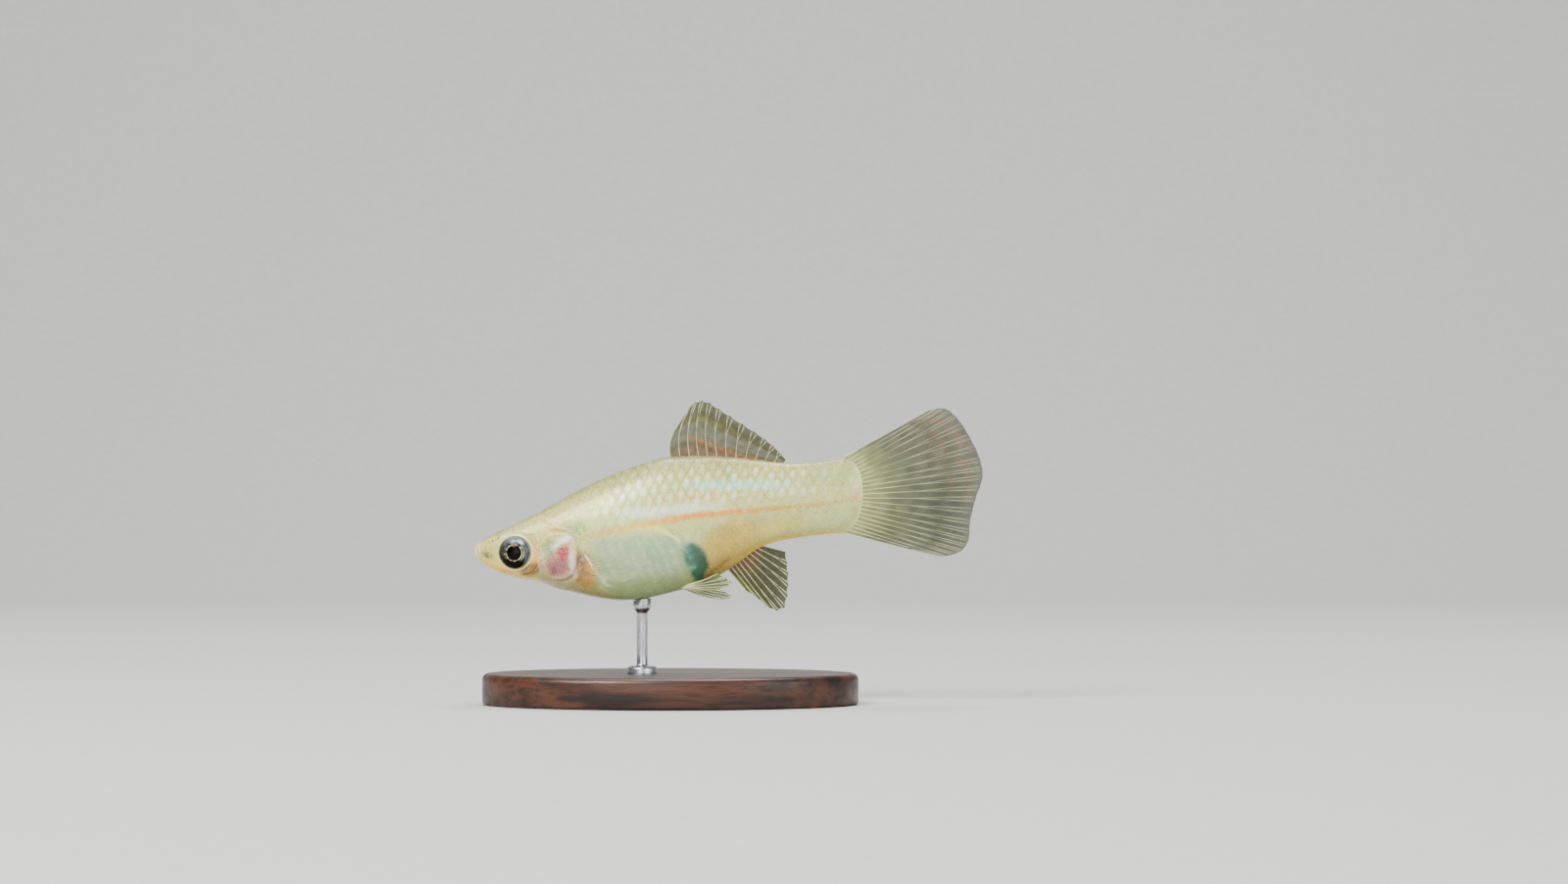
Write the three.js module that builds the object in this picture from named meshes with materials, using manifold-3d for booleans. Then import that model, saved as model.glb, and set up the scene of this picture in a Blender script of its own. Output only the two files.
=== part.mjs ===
// A young adult female swordtail, life size, swimming nose a little low on a display stand.
// Millimetres, +Z up. The stand's foot is the origin. The fish heads towards -X, its left side towards -Y.
// The fish's own frame starts at the tip of its snout: x runs back, y to its right, z up.
import * as THREE from "three";
import { mergeVertices } from "three/addons/utils/BufferGeometryUtils.js";
import Module from "manifold-3d";

const wasm = await Module();
wasm.setup();

// Driving dimensions
const GAP = 0.3; // between any two pieces
const SNOUT_AT = { x: -25, z: 19.6 }; // the snout tip over the foot of the stand
const BODY_STOP = 52; // the body shape runs on into the tail fin before it is cut

// The side outline, the plan width and the section, each as [x, value] from the snout tip
const BACK = [
  [0, 0.2], [0.75, 1.1], [1.5, 1.55], [3, 2.45], [5.25, 3.5], [7.5, 4.6], [9.75, 5.85],
  [12, 7.15], [14.25, 8.3], [17.5, 9.75], [20.5, 10.85], [23.5, 11.8], [26, 12.1], [29.5, 12.2],
  [34, 11.9], [37, 11.55], [40, 11.25], [43, 11.3], [46, 11.65], [48.5, 12.3], [52, 13.6],
];
const BELLY = [
  [0, -0.2], [0.75, -1.15], [1.5, -1.9], [3, -2.75], [5.25, -3.45], [8.25, -4.05], [10.5, -4.75],
  [12.75, -5.4], [16, -6.1], [19, -6.4], [22, -6.15], [25, -5.45], [27.5, -4.75], [29.8, -3.95],
  [32, -2.8], [34, -1.4], [36, 0.1], [38.5, 1.05], [41, 1.55], [44, 1.95], [47, 2.2], [49.3, 2.1], [52, 1.1],
];
const HALF_WIDTH = [
  [0, 0], [0.3, 0.95], [0.75, 1.35], [1.5, 1.75], [3, 2.3], [5.25, 2.85], [7.5, 3.2], [9.75, 3.55],
  [12, 3.95], [14.25, 4.3], [17.5, 4.65], [20.5, 4.7], [23.5, 4.5], [27, 4], [30, 3.45], [34, 2.75],
  [37, 2.3], [40, 1.95], [43, 1.65], [46, 1.35], [49, 1], [52, 0.6],
];
const WIDEST_AT = [
  [0, 0], [3, -0.3], [5.25, -0.4], [9, -0.7], [14, -0.8], [20, 0], [27, 2], [33, 4.6],
  [38, 6.2], [44, 6.7], [52, 7.3],
];
const UPPER_SQUARENESS = [[0, 2.3], [4, 2.5], [9, 2.3], [16, 2], [30, 1.85], [44, 2], [52, 2]];
const LOWER_SQUARENESS = [[0, 2.2], [8, 2.1], [18, 2.15], [28, 1.9], [36, 1.75], [44, 2], [52, 2]];

const SHOULDER_CUT = { x: 13.2, z: 1.5, lean: 0.07 }; // between head and trunk
const STALK_CUT = { x: 39.9, z: 6.5, lean: 0.05 }; // between trunk and tail stalk
const STALK_END = { x: 43.5, z: 7.3, radius: 7 }; // the flesh of the tail stalk ends on this arc

const EYE = { x: 5.37, y: 2.05, z: -0.19, radius: 2.07, depth: 1.25, pupil: 0.93, turn: 0.1 };
// From the side, the gape runs down from the top of the snout to its corner, then the jaw's edge runs back.
const JAW_LINE = [[0.3, 1.6], [0.72, -0.3], [1.6, -0.55], [2.2, -1.25], [2.55, -3.2]];
// The lower lip leads. The droop is how far a lip runs on below the widest point, in radians.
const LIPS = [{ x: 0.27, radius: 0.22, droop: 0.6 }, { x: 1.04, radius: 0.22, droop: 0.1 }];
const LIP_SINK = 0.12;
const NOSTRILS = [{ x: 2.45, z: 1.25, radius: 0.24 }, { x: 3.1, z: 1.7, radius: 0.2 }];

const GILL_OUTLINE = [
  [8.9, 1.3], [9.8, 2.3], [11.2, 2.5], [12.6, 1.9], [13.35, 0.3], [13.3, -1.6], [12.5, -3.2],
  [11, -3.7], [9.5, -3.3], [8.7, -2.2], [8.5, -0.4],
];
const GILL_PLATE = { raised: 0.14, sunk: 0.55, inner: 0.8 }; // inner is its clearance from the middle plane

const FIN = { membrane: 0.46, ridge: 0.13, edge: 0.3 }; // membrane, a ray's rise on each face, free edge

const BASE = { length: 48, width: 27, height: 4, chamfer: 0.8 };
const ROD = { x: -3.6, radius: 0.7, collar: 1.9, collarHeight: 0.9, pad: 1.15, padHeight: 1.1 };

const MATERIALS = {
  skin: new THREE.MeshStandardMaterial({ color: 0xc9cdae, roughness: 0.45, metalness: 0.1 }),
  gill: new THREE.MeshStandardMaterial({ color: 0xc9a49a, roughness: 0.35, metalness: 0.15 }),
  eye: new THREE.MeshStandardMaterial({ color: 0x1c2426, roughness: 0.12, metalness: 0.1 }),
  fin: new THREE.MeshStandardMaterial({ color: 0x8f9380, roughness: 0.4, metalness: 0 }),
  wood: new THREE.MeshStandardMaterial({ color: 0x3a2417, roughness: 0.5, metalness: 0 }),
  steel: new THREE.MeshStandardMaterial({ color: 0xb9bcc0, roughness: 0.3, metalness: 1 }),
};

// A smooth function through [x, value] points: cubic pieces in the square root of x, which rounds the snout.
function lineThrough(points) {
  const at = points.map(([x]) => Math.sqrt(x));
  const value = points.map((p) => p[1]);
  const slope = at.map((_, i) => {
    const before = Math.max(i - 1, 0);
    const after = Math.min(i + 1, at.length - 1);
    return (value[after] - value[before]) / (at[after] - at[before]);
  });
  return (x) => {
    const s = Math.sqrt(Math.min(Math.max(x, 0), points.at(-1)[0]));
    let i = 0;
    while (i < at.length - 2 && s > at[i + 1]) i++;
    const step = at[i + 1] - at[i];
    const t = (s - at[i]) / step;
    const rest = 1 - t;
    return (
      rest * rest * ((1 + 2 * t) * value[i] + t * step * slope[i]) +
      t * t * ((3 - 2 * t) * value[i + 1] - rest * step * slope[i + 1])
    );
  };
}

const back = lineThrough(BACK);
const belly = lineThrough(BELLY);
const halfWidth = lineThrough(HALF_WIDTH);
const widestAt = lineThrough(WIDEST_AT);
const upperSquareness = lineThrough(UPPER_SQUARENESS);
const lowerSquareness = lineThrough(LOWER_SQUARENESS);

// A point of the body's section at x. The angle starts at the right flank and turns up over the back.
function skinPoint(x, angle, grow = 0) {
  const up = Math.sin(angle) >= 0;
  const power = 2 / (up ? upperSquareness(x) : lowerSquareness(x));
  const reach = up ? back(x) - widestAt(x) : widestAt(x) - belly(x);
  const across = Math.sign(Math.cos(angle)) * Math.abs(Math.cos(angle)) ** power;
  const upwards = Math.sign(Math.sin(angle)) * Math.abs(Math.sin(angle)) ** power;
  return new THREE.Vector3(x, (halfWidth(x) + grow) * across, widestAt(x) + (reach + grow) * upwards);
}

// How far the flank stands out from the middle plane at x and height z.
function flankAt(x, z) {
  const up = z >= widestAt(x);
  const power = up ? upperSquareness(x) : lowerSquareness(x);
  const reach = up ? back(x) - widestAt(x) : widestAt(x) - belly(x);
  const share = Math.min(Math.abs(z - widestAt(x)) / reach, 1);
  return halfWidth(x) * (1 - share ** power) ** (1 / power);
}

// Geometry to solid and back
function solidOf(geometry) {
  const bare = geometry.clone();
  bare.deleteAttribute("normal");
  bare.deleteAttribute("uv");
  const merged = mergeVertices(bare, 1e-4);
  const triVerts = new Uint32Array(merged.index.array);
  const vertProperties = merged.attributes.position.array;
  const made = new wasm.Manifold(new wasm.Mesh({ numProp: 3, vertProperties, triVerts }));
  if (made.volume() > 0) return made;
  for (let i = 0; i < triVerts.length; i += 3) {
    [triVerts[i + 1], triVerts[i + 2]] = [triVerts[i + 2], triVerts[i + 1]];
  }
  return new wasm.Manifold(new wasm.Mesh({ numProp: 3, vertProperties, triVerts }));
}

function largest(solid) {
  return solid.decompose().reduce((a, b) => (a.volume() >= b.volume() ? a : b));
}

function geometryOf(solid) {
  const mesh = largest(solid).getMesh();
  const geometry = new THREE.BufferGeometry();
  geometry.setAttribute("position", new THREE.BufferAttribute(mesh.vertProperties, 3));
  geometry.setIndex(new THREE.BufferAttribute(mesh.triVerts, 1));
  geometry.computeVertexNormals();
  return geometry;
}

// A closed surface over a grid of points, rows of rings from a first pole to a last one.
function closedRings(rings, firstPole, lastPole) {
  const around = rings[0].length;
  const points = [firstPole, ...rings.flat(), lastPole];
  const faces = [];
  const corner = (row, k) => 1 + row * around + (k % around);
  for (let k = 0; k < around; k++) faces.push(0, corner(0, k + 1), corner(0, k));
  for (let row = 0; row + 1 < rings.length; row++) {
    for (let k = 0; k < around; k++) {
      const [a, b, c, d] = [corner(row, k), corner(row, k + 1), corner(row + 1, k + 1), corner(row + 1, k)];
      faces.push(a, b, c, a, c, d);
    }
  }
  const end = rings.length - 1;
  for (let k = 0; k < around; k++) faces.push(points.length - 1, corner(end, k), corner(end, k + 1));
  const geometry = new THREE.BufferGeometry().setFromPoints(points);
  geometry.setIndex(faces);
  return geometry;
}

// The whole body, grown outwards by grow or drawn in where it is negative.
function bodySolid(grow) {
  const stations = 42;
  const around = 30;
  const rings = [];
  for (let i = 1; i <= stations; i++) {
    const x = BODY_STOP * (i / stations) ** 1.45;
    rings.push(Array.from({ length: around }, (_, k) => skinPoint(x, (2 * Math.PI * k) / around, grow)));
  }
  const nose = new THREE.Vector3(-Math.max(grow, 0), 0, (BACK[0][1] + BELLY[0][1]) / 2);
  const tail = new THREE.Vector3(BODY_STOP, 0, widestAt(BODY_STOP));
  return solidOf(closedRings(rings, nose, tail));
}

// A block on one side of a leaning plane: side 1 lies behind it, side -1 in front.
function blockBeside({ x, z, lean }, side) {
  const size = 120;
  const block = new THREE.BoxGeometry(size, size, size);
  block.translate((side * (size + GAP)) / 2, 0, 0);
  block.rotateY(lean);
  block.translate(x, 0, z);
  return solidOf(block);
}

// A prism from a side outline, across the fish from y0 to y1.
function sidePrism(shape, y0, y1) {
  const prism = new THREE.ExtrudeGeometry(shape, { depth: y1 - y0, bevelEnabled: false, curveSegments: 6 });
  prism.rotateX(Math.PI / 2);
  prism.translate(0, y1, 0);
  return solidOf(prism);
}

function outlineShape(points, scale = 1) {
  const centre = points.reduce((sum, p) => sum.add(new THREE.Vector2(...p)), new THREE.Vector2());
  centre.divideScalar(points.length);
  const grown = points.map((p) => new THREE.Vector2(...p).sub(centre).multiplyScalar(scale).add(centre));
  const curve = new THREE.CatmullRomCurve3(grown.map((p) => new THREE.Vector3(p.x, p.y, 0)), true);
  return new THREE.Shape(curve.getPoints(26).slice(0, -1).map((p) => new THREE.Vector2(p.x, p.y)));
}

// A ball squashed along y, with a groove round the pupil.
function eyeGeometry(side, grow) {
  const steps = 12;
  const profile = [];
  for (let i = 0; i <= steps; i++) {
    const angle = -Math.PI / 2 + (Math.PI * i) / steps;
    const r = Math.max((EYE.radius + grow) * Math.cos(angle), 0);
    const groove = grow === 0 && Math.sin(angle) > 0 ? 0.12 * Math.exp(-(((r - EYE.pupil) / 0.16) ** 2)) : 0;
    profile.push(new THREE.Vector2(i % steps === 0 ? 0 : r, (EYE.depth + grow) * Math.sin(angle) - groove));
  }
  const ball = new THREE.LatheGeometry(profile, 24);
  if (side < 0) ball.rotateX(Math.PI);
  ball.rotateZ(side * EYE.turn);
  ball.translate(EYE.x, side * EYE.y, EYE.z);
  return ball;
}

// A lip lies across the snout from one corner of the mouth to the other.
function lipSolid({ x, radius, droop }) {
  const steps = 14;
  const centre = Array.from({ length: steps + 1 }, (_, i) =>
    skinPoint(x, THREE.MathUtils.lerp(-droop, Math.PI + droop, i / steps), -LIP_SINK),
  );
  const section = new THREE.Shape().absarc(0, 0, radius, 0, 2 * Math.PI);
  const extrudePath = new THREE.CatmullRomCurve3(centre);
  return solidOf(new THREE.ExtrudeGeometry(section, { steps: 20, curveSegments: 4, extrudePath }));
}

// Everything in front of the jaw line and below it, moved forwards and down by half the gap, or back and up.
function jawPrism(shift) {
  const line = JAW_LINE.map(([x, z]) => new THREE.Vector2(x + shift, z + shift));
  const corner = new THREE.Vector2(-2, JAW_LINE.at(-1)[1] - 1);
  const shape = new THREE.Shape([...line, corner, new THREE.Vector2(-2, JAW_LINE[0][1])]);
  return sidePrism(shape, -5, 5);
}

function nostrilSolids() {
  const solids = [];
  for (const side of [-1, 1]) {
    for (const { x, z, radius } of NOSTRILS) {
      const pit = new THREE.SphereGeometry(radius, 10, 8);
      pit.translate(x, side * flankAt(x, z), z);
      solids.push(solidOf(pit));
    }
  }
  return solids;
}

// A fin: a thin sheet from a line of roots to a line of tips, its rays raised on both faces.
// Each ray has three ridge columns, and a valley parts it from the next. Past the fork the middle one sinks.
function finSolid({ roots, tips, rays, rows, fork = 0.45, bow, rootHalf = () => 0, membrane = FIN.membrane }) {
  const rootLine = new THREE.CatmullRomCurve3(roots.map((p) => new THREE.Vector3(...p)));
  const tipLine = new THREE.CatmullRomCurve3(tips.map((p) => new THREE.Vector3(...p)));
  const columns = [];
  for (let i = 0; i < rays; i++) {
    if (i > 0) columns.push({ ray: i - 0.5, kind: "valley", branch: 0 });
    columns.push({ ray: i, kind: "ridge", branch: -1 });
    columns.push({ ray: i, kind: "middle", branch: 0 });
    columns.push({ ray: i, kind: "ridge", branch: 1 });
  }
  const forked = (v) => Math.min(Math.max((v - fork) / 0.2, 0), 1);
  const place = ({ ray, branch }, v) => {
    const spread = 0.12 + 0.13 * forked(v);
    const u = Math.min(Math.max((ray + branch * spread + 0.25) / (rays - 0.5), 0), 1);
    const point = rootLine.getPoint(u).lerp(tipLine.getPoint(u), v);
    return point.add(bow(u, v));
  };
  const halfThickness = ({ ray, kind }, v) => {
    const u = (ray + 0.25) / (rays - 0.5);
    const thin = THREE.MathUtils.lerp(membrane, FIN.edge, v ** 2) / 2;
    const rise = kind === "valley" ? 0 : kind === "middle" ? 1 - forked(v) : 1;
    return thin + FIN.ridge * rise * (1 - 0.6 * v) + Math.max(rootHalf(u) - thin, 0) * Math.exp(-9 * v);
  };
  const reach = ({ kind, branch }) => (kind === "valley" ? 0.965 : branch === 0 ? 0.985 : 1);
  const grid = columns.map((c) =>
    Array.from({ length: rows + 1 }, (_, j) => place(c, (reach(c) * j) / rows)),
  );
  const points = [[], []];
  columns.forEach((c, i) => {
    for (let j = 0; j <= rows; j++) {
      const [before, after] = [grid[Math.max(i - 1, 0)][j], grid[Math.min(i + 1, columns.length - 1)][j]];
      const [below, above] = [grid[i][Math.max(j - 1, 0)], grid[i][Math.min(j + 1, rows)]];
      const normal = after.clone().sub(before).cross(above.clone().sub(below)).normalize();
      const half = halfThickness(c, j / rows);
      points[0].push(grid[i][j].clone().addScaledVector(normal, half));
      points[1].push(grid[i][j].clone().addScaledVector(normal, -half));
    }
  });
  const count = points[0].length;
  const at = (face, i, j) => face * count + i * (rows + 1) + j;
  const faces = [];
  const quad = (a, b, c, d) => faces.push(a, b, c, a, c, d);
  for (let i = 0; i + 1 < columns.length; i++) {
    for (let j = 0; j < rows; j++) {
      quad(at(0, i, j), at(0, i + 1, j), at(0, i + 1, j + 1), at(0, i, j + 1));
      faces.push(at(1, i, j), at(1, i + 1, j + 1), at(1, i + 1, j));
      faces.push(at(1, i, j), at(1, i, j + 1), at(1, i + 1, j + 1));
    }
    quad(at(1, i, 0), at(1, i + 1, 0), at(0, i + 1, 0), at(0, i, 0));
    quad(at(0, i, rows), at(0, i + 1, rows), at(1, i + 1, rows), at(1, i, rows));
  }
  const end = columns.length - 1;
  for (let j = 0; j < rows; j++) {
    quad(at(0, 0, j), at(0, 0, j + 1), at(1, 0, j + 1), at(1, 0, j));
    quad(at(1, end, j), at(1, end, j + 1), at(0, end, j + 1), at(0, end, j));
  }
  const geometry = new THREE.BufferGeometry().setFromPoints([...points[0], ...points[1]]);
  geometry.setIndex(faces);
  return solidOf(geometry);
}

// Roots along the back or the belly, sunk a little so that the trim leaves a clean foot.
function rootsAlong(line, from, to, sunk) {
  return Array.from({ length: 6 }, (_, i) => {
    const x = THREE.MathUtils.lerp(from, to, i / 5);
    return [x, 0, line(x) - sunk];
  });
}

const SUNK = 0.5;

function dorsalFin() {
  return finSolid({
    roots: rootsAlong(back, 25.1, 39.3, SUNK),
    tips: [
      [26.4, 0, 16.6], [28, 0, 18.9], [29.4, 0, 19.15], [31.4, 0, 18], [34, 0, 16.3], [36.6, 0, 14.6],
      [38.4, 0, 13.1], [39.7, 0, 11.6],
    ],
    rays: 12,
    rows: 6,
    fork: 0.5,
    bow: (u, v) => new THREE.Vector3(-0.7 * Math.sin(Math.PI * v) * (1 - u), 0.55 * v * v * (0.4 + u), 0),
  });
}

function analFin() {
  return finSolid({
    roots: rootsAlong(belly, 32.2, 36.3, -SUNK),
    tips: [
      [34.6, 0, -5], [36.2, 0, -6.1], [38.2, 0, -7.6], [39.5, 0, -7.4], [40, 0, -5.6], [40.1, 0, -3.8],
      [40, 0, -2], [39.7, 0, -0.1],
    ],
    rays: 9,
    rows: 6,
    fork: 0.45,
    bow: (u, v) => new THREE.Vector3(0, -0.6 * v * v * (1 - 0.5 * u), 0),
  });
}

function tailFin() {
  const arc = (degrees) => {
    const a = THREE.MathUtils.degToRad(degrees);
    const r = STALK_END.radius + GAP;
    return [STALK_END.x + r * Math.cos(a), 0, STALK_END.z + r * Math.sin(a)];
  };
  return finSolid({
    roots: [47, 32, 16, 0, -16, -32, -47].map(arc),
    tips: [
      [58, 0, 17.9], [59.9, 0, 18.2], [61.4, 0, 17.2], [63.2, 0, 14.6], [64.6, 0, 11.6], [64.9, 0, 9.4],
      [64, 0, 6.6], [63.3, 0, 3.6], [63.1, 0, 1.4], [62.2, 0, 0], [60, 0, -0.7], [57.5, 0, -0.3],
    ],
    rays: 15,
    rows: 9,
    fork: 0.4,
    bow: (u, v) => new THREE.Vector3(0, 1.1 * v * v * Math.sin(2.4 * u + 0.4) - 0.12 * v, 0),
    rootHalf: (u) => 0.3 + 0.5 * Math.sin(Math.PI * Math.min(Math.max(u, 0), 1)),
  });
}

// Paired fins are worked out on the right side, and side -1 mirrors them in y.
function pectoralFin(side) {
  const base = [[14.35, -0.4], [14.7, -1.2], [15.1, -2], [15.4, -2.7]];
  return finSolid({
    roots: base.map(([x, z]) => [x - 0.3, side * (flankAt(x, z) - SUNK), z]),
    tips: [
      [15.9, side * 7.2, 2.9], [17.8, side * 8.5, 3.4], [20, side * 9.2, 2.7], [21.7, side * 9.4, 1.1],
      [22.2, side * 9.3, -0.8], [21.5, side * 8.7, -2.5], [20, side * 8, -3.7], [18.6, side * 7.3, -4.1],
    ],
    rays: 10,
    rows: 5,
    fork: 0.5,
    bow: (u, v) => new THREE.Vector3(0, side * 0.8 * Math.sin(Math.PI * v), 0.2 * v),
  });
}

function pelvicFin(side) {
  const lift = side < 0 ? 1.5 : 0; // the left fin is held higher
  return finSolid({
    roots: [[26.1, 0.9], [26.7, 1.15], [27.4, 1.5]].map(([x, y]) => [
      x, side * y, belly(x) + 0.55,
    ]),
    tips: [
      [29.6, side * 1.5, -6 + lift * 0.5], [31.8, side * 2.2, -6.3 + lift * 0.8],
      [32.8, side * 2.9, -5.9 + lift], [32.3, side * 3.4, -5 + lift], [30.8, side * 3.6, -4.1 + lift],
    ],
    rays: 6,
    rows: 5,
    fork: 0.5,
    bow: (u, v) => new THREE.Vector3(0, side * 0.25 * Math.sin(Math.PI * v), -0.15 * Math.sin(Math.PI * v)),
  });
}

// The stand
function baseGeometry() {
  const r = BASE.width / 2;
  const profile = [
    [0, 0], [r - 0.3, 0], [r, 0.3],
    [r, BASE.height - BASE.chamfer], [r - BASE.chamfer, BASE.height], [0, BASE.height],
  ];
  const base = new THREE.LatheGeometry(profile.map((p) => new THREE.Vector2(...p)), 48);
  base.rotateX(Math.PI / 2);
  base.scale(BASE.length / BASE.width, 1, 1);
  return base;
}

// The rod has a collar on the base and a pad that is trimmed to the belly.
function rodSolid(clearOfFish) {
  const bellyHeight = SNOUT_AT.z + belly(ROD.x - SNOUT_AT.x);
  const low = BASE.height + GAP;
  const profile = [
    [0, low], [ROD.collar, low],
    [ROD.collar, low + ROD.collarHeight * 0.6], [ROD.collar - 0.4, low + ROD.collarHeight],
    [ROD.radius, low + ROD.collarHeight], [ROD.radius, bellyHeight - ROD.padHeight],
    [ROD.pad, bellyHeight - 0.4], [ROD.pad, bellyHeight + 0.5], [0, bellyHeight + 0.5],
  ];
  const rod = new THREE.LatheGeometry(profile.map((p) => new THREE.Vector2(...p)), 20);
  rod.rotateX(Math.PI / 2);
  rod.translate(ROD.x, 0, 0);
  return solidOf(rod).subtract(clearOfFish);
}

// Parting the body
const body = bodySolid(0);
const clearBody = bodySolid(GAP);
const gillSeatFloor = bodySolid(-(GILL_PLATE.sunk + GAP));
const gillPlates = bodySolid(GILL_PLATE.raised).subtract(bodySolid(-GILL_PLATE.sunk));
const gillOutline = outlineShape(GILL_OUTLINE);
const gillSeatOutline = outlineShape(GILL_OUTLINE, 1.12);
const sidePrisms = (shape, inner) => [sidePrism(shape, -12, -inner), sidePrism(shape, inner, 12)];
const gillCovers = sidePrisms(gillOutline, GILL_PLATE.inner).map((p) => gillPlates.intersect(p));
const gillSeats = sidePrisms(gillSeatOutline, GILL_PLATE.inner - GAP).map((p) => p.subtract(gillSeatFloor));
const eyeSockets = [-1, 1].map((side) => solidOf(eyeGeometry(side, GAP)));
const pitted = [...gillSeats, ...eyeSockets, ...nostrilSolids()].reduce((a, b) => a.subtract(b), body);
const withLips = LIPS.map(lipSolid).reduce((a, b) => a.add(b), pitted);
const frontPart = withLips.intersect(blockBeside(SHOULDER_CUT, -1));
const rearPart = pitted.intersect(blockBeside(SHOULDER_CUT, 1));
const stalkArc = new THREE.CylinderGeometry(STALK_END.radius, STALK_END.radius, 20, 72);
stalkArc.translate(STALK_END.x, 0, STALK_END.z);

const parts = {
  head: [frontPart.subtract(jawPrism(GAP / 2)), MATERIALS.skin],
  lower_jaw: [frontPart.intersect(jawPrism(-GAP / 2)), MATERIALS.skin],
  gill_cover_left: [gillCovers[0], MATERIALS.gill],
  gill_cover_right: [gillCovers[1], MATERIALS.gill],
  eye_left: [solidOf(eyeGeometry(-1, 0)), MATERIALS.eye],
  eye_right: [solidOf(eyeGeometry(1, 0)), MATERIALS.eye],
  trunk: [rearPart.intersect(blockBeside(STALK_CUT, -1)), MATERIALS.skin],
  tail_stalk: [rearPart.intersect(blockBeside(STALK_CUT, 1)).intersect(solidOf(stalkArc)), MATERIALS.skin],
  dorsal_fin: [dorsalFin().subtract(clearBody), MATERIALS.fin],
  anal_fin: [analFin().subtract(clearBody), MATERIALS.fin],
  tail_fin: [tailFin(), MATERIALS.fin],
  pectoral_fin_left: [pectoralFin(-1).subtract(clearBody), MATERIALS.fin],
  pectoral_fin_right: [pectoralFin(1).subtract(clearBody), MATERIALS.fin],
  pelvic_fin_left: [pelvicFin(-1).subtract(clearBody), MATERIALS.fin],
  pelvic_fin_right: [pelvicFin(1).subtract(clearBody), MATERIALS.fin],
};

function named(name, geometry, material) {
  const mesh = new THREE.Mesh(geometry, material);
  mesh.name = name;
  return mesh;
}

const fish = new THREE.Group();
fish.position.set(SNOUT_AT.x, 0, SNOUT_AT.z);
for (const [name, [solid, material]] of Object.entries(parts)) {
  fish.add(named(name, geometryOf(solid), material));
}

const fishClearance = clearBody.translate([SNOUT_AT.x, 0, SNOUT_AT.z]);
const stand = new THREE.Group();
stand.add(named("stand_base", baseGeometry(), MATERIALS.wood));
stand.add(named("stand_rod", geometryOf(rodSolid(fishClearance)), MATERIALS.steel));

const swordtail = new THREE.Group();
swordtail.add(fish, stand);
export default swordtail;
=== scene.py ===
"""A life-size display model of a female swordtail on its stand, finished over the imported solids.

Shapes are worked out in the fish's own frame, in millimetres: x runs back from the snout tip, y to the
fish's right and z up. The stand is worked out in millimetres from the middle of its foot. A colour in a
list or a layer is three screen values from 0 to 255.
"""

import math

import bmesh
import bpy
import numpy as np
from bpy.props import FloatProperty, FloatVectorProperty, PointerProperty
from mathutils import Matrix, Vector


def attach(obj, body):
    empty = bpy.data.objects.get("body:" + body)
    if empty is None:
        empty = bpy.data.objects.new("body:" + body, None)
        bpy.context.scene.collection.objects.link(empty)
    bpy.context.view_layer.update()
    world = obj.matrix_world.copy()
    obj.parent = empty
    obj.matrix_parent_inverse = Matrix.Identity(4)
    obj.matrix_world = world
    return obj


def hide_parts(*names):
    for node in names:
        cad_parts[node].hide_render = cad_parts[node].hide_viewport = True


bl_info = {
    "name": "Swordtail display model",
    "version": (1, 0, 0),
    "blender": (4, 5, 0),
    "location": "3D Viewport > Sidebar > Swordtail",
    "description": "Builds a life-size female swordtail on its display stand",
    "category": "Add Mesh",
}

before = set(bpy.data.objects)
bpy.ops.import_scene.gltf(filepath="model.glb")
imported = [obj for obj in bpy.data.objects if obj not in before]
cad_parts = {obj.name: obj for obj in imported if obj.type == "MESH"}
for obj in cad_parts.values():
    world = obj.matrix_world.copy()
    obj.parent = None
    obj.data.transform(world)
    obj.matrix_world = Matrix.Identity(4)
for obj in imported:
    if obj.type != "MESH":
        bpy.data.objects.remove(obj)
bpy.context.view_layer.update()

MM = 0.001
SNOUT = np.array([-25.0, 0.0, 19.6])

# The body's lines, each as [x, value]
BACK_LINE = [
    [0, 0.2], [0.75, 1.1], [1.5, 1.55], [3, 2.45], [5.25, 3.5], [7.5, 4.6], [9.75, 5.85],
    [12, 7.15], [14.25, 8.3], [17.5, 9.75], [20.5, 10.85], [23.5, 11.8], [26, 12.1], [29.5, 12.2],
    [34, 11.9], [37, 11.55], [40, 11.25], [43, 11.3], [46, 11.65], [48.5, 12.3], [52, 13.6],
]
BELLY_LINE = [
    [0, -0.2], [0.75, -1.15], [1.5, -1.9], [3, -2.75], [5.25, -3.45], [8.25, -4.05], [10.5, -4.75],
    [12.75, -5.4], [16, -6.1], [19, -6.4], [22, -6.15], [25, -5.45], [27.5, -4.75], [29.8, -3.95],
    [32, -2.8], [34, -1.4], [36, 0.1], [38.5, 1.05], [41, 1.55], [44, 1.95], [47, 2.2], [49.3, 2.1],
    [52, 1.1],
]
HALF_WIDTH_LINE = [
    [0, 0], [0.3, 0.95], [0.75, 1.35], [1.5, 1.75], [3, 2.3], [5.25, 2.85], [7.5, 3.2], [9.75, 3.55],
    [12, 3.95], [14.25, 4.3], [17.5, 4.65], [20.5, 4.7], [23.5, 4.5], [27, 4], [30, 3.45], [34, 2.75],
    [37, 2.3], [40, 1.95], [43, 1.65], [46, 1.35], [49, 1], [52, 0.6],
]
WIDEST_LINE = [
    [0, 0], [3, -0.3], [5.25, -0.4], [9, -0.7], [14, -0.8], [20, 0], [27, 2], [33, 4.6],
    [38, 6.2], [44, 6.7], [52, 7.3],
]
UPPER_LINE = [[0, 2.3], [4, 2.5], [9, 2.3], [16, 2], [30, 1.85], [44, 2], [52, 2]]
LOWER_LINE = [[0, 2.2], [8, 2.1], [18, 2.15], [28, 1.9], [36, 1.75], [44, 2], [52, 2]]

# From where to where the fish's length, its heights and a share run
ALONG = (0, 52)
HEIGHTS = (-8, 14)
SHARES = (0, 1)

STALK_END = {"x": 43.5, "z": 7.3, "radius": 7.0, "thinning": 2.6}
EYE = {"x": 5.37, "y": 2.42, "z": -0.19, "radius": 2.0, "dome": 0.85, "turn": 0.18}

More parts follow.
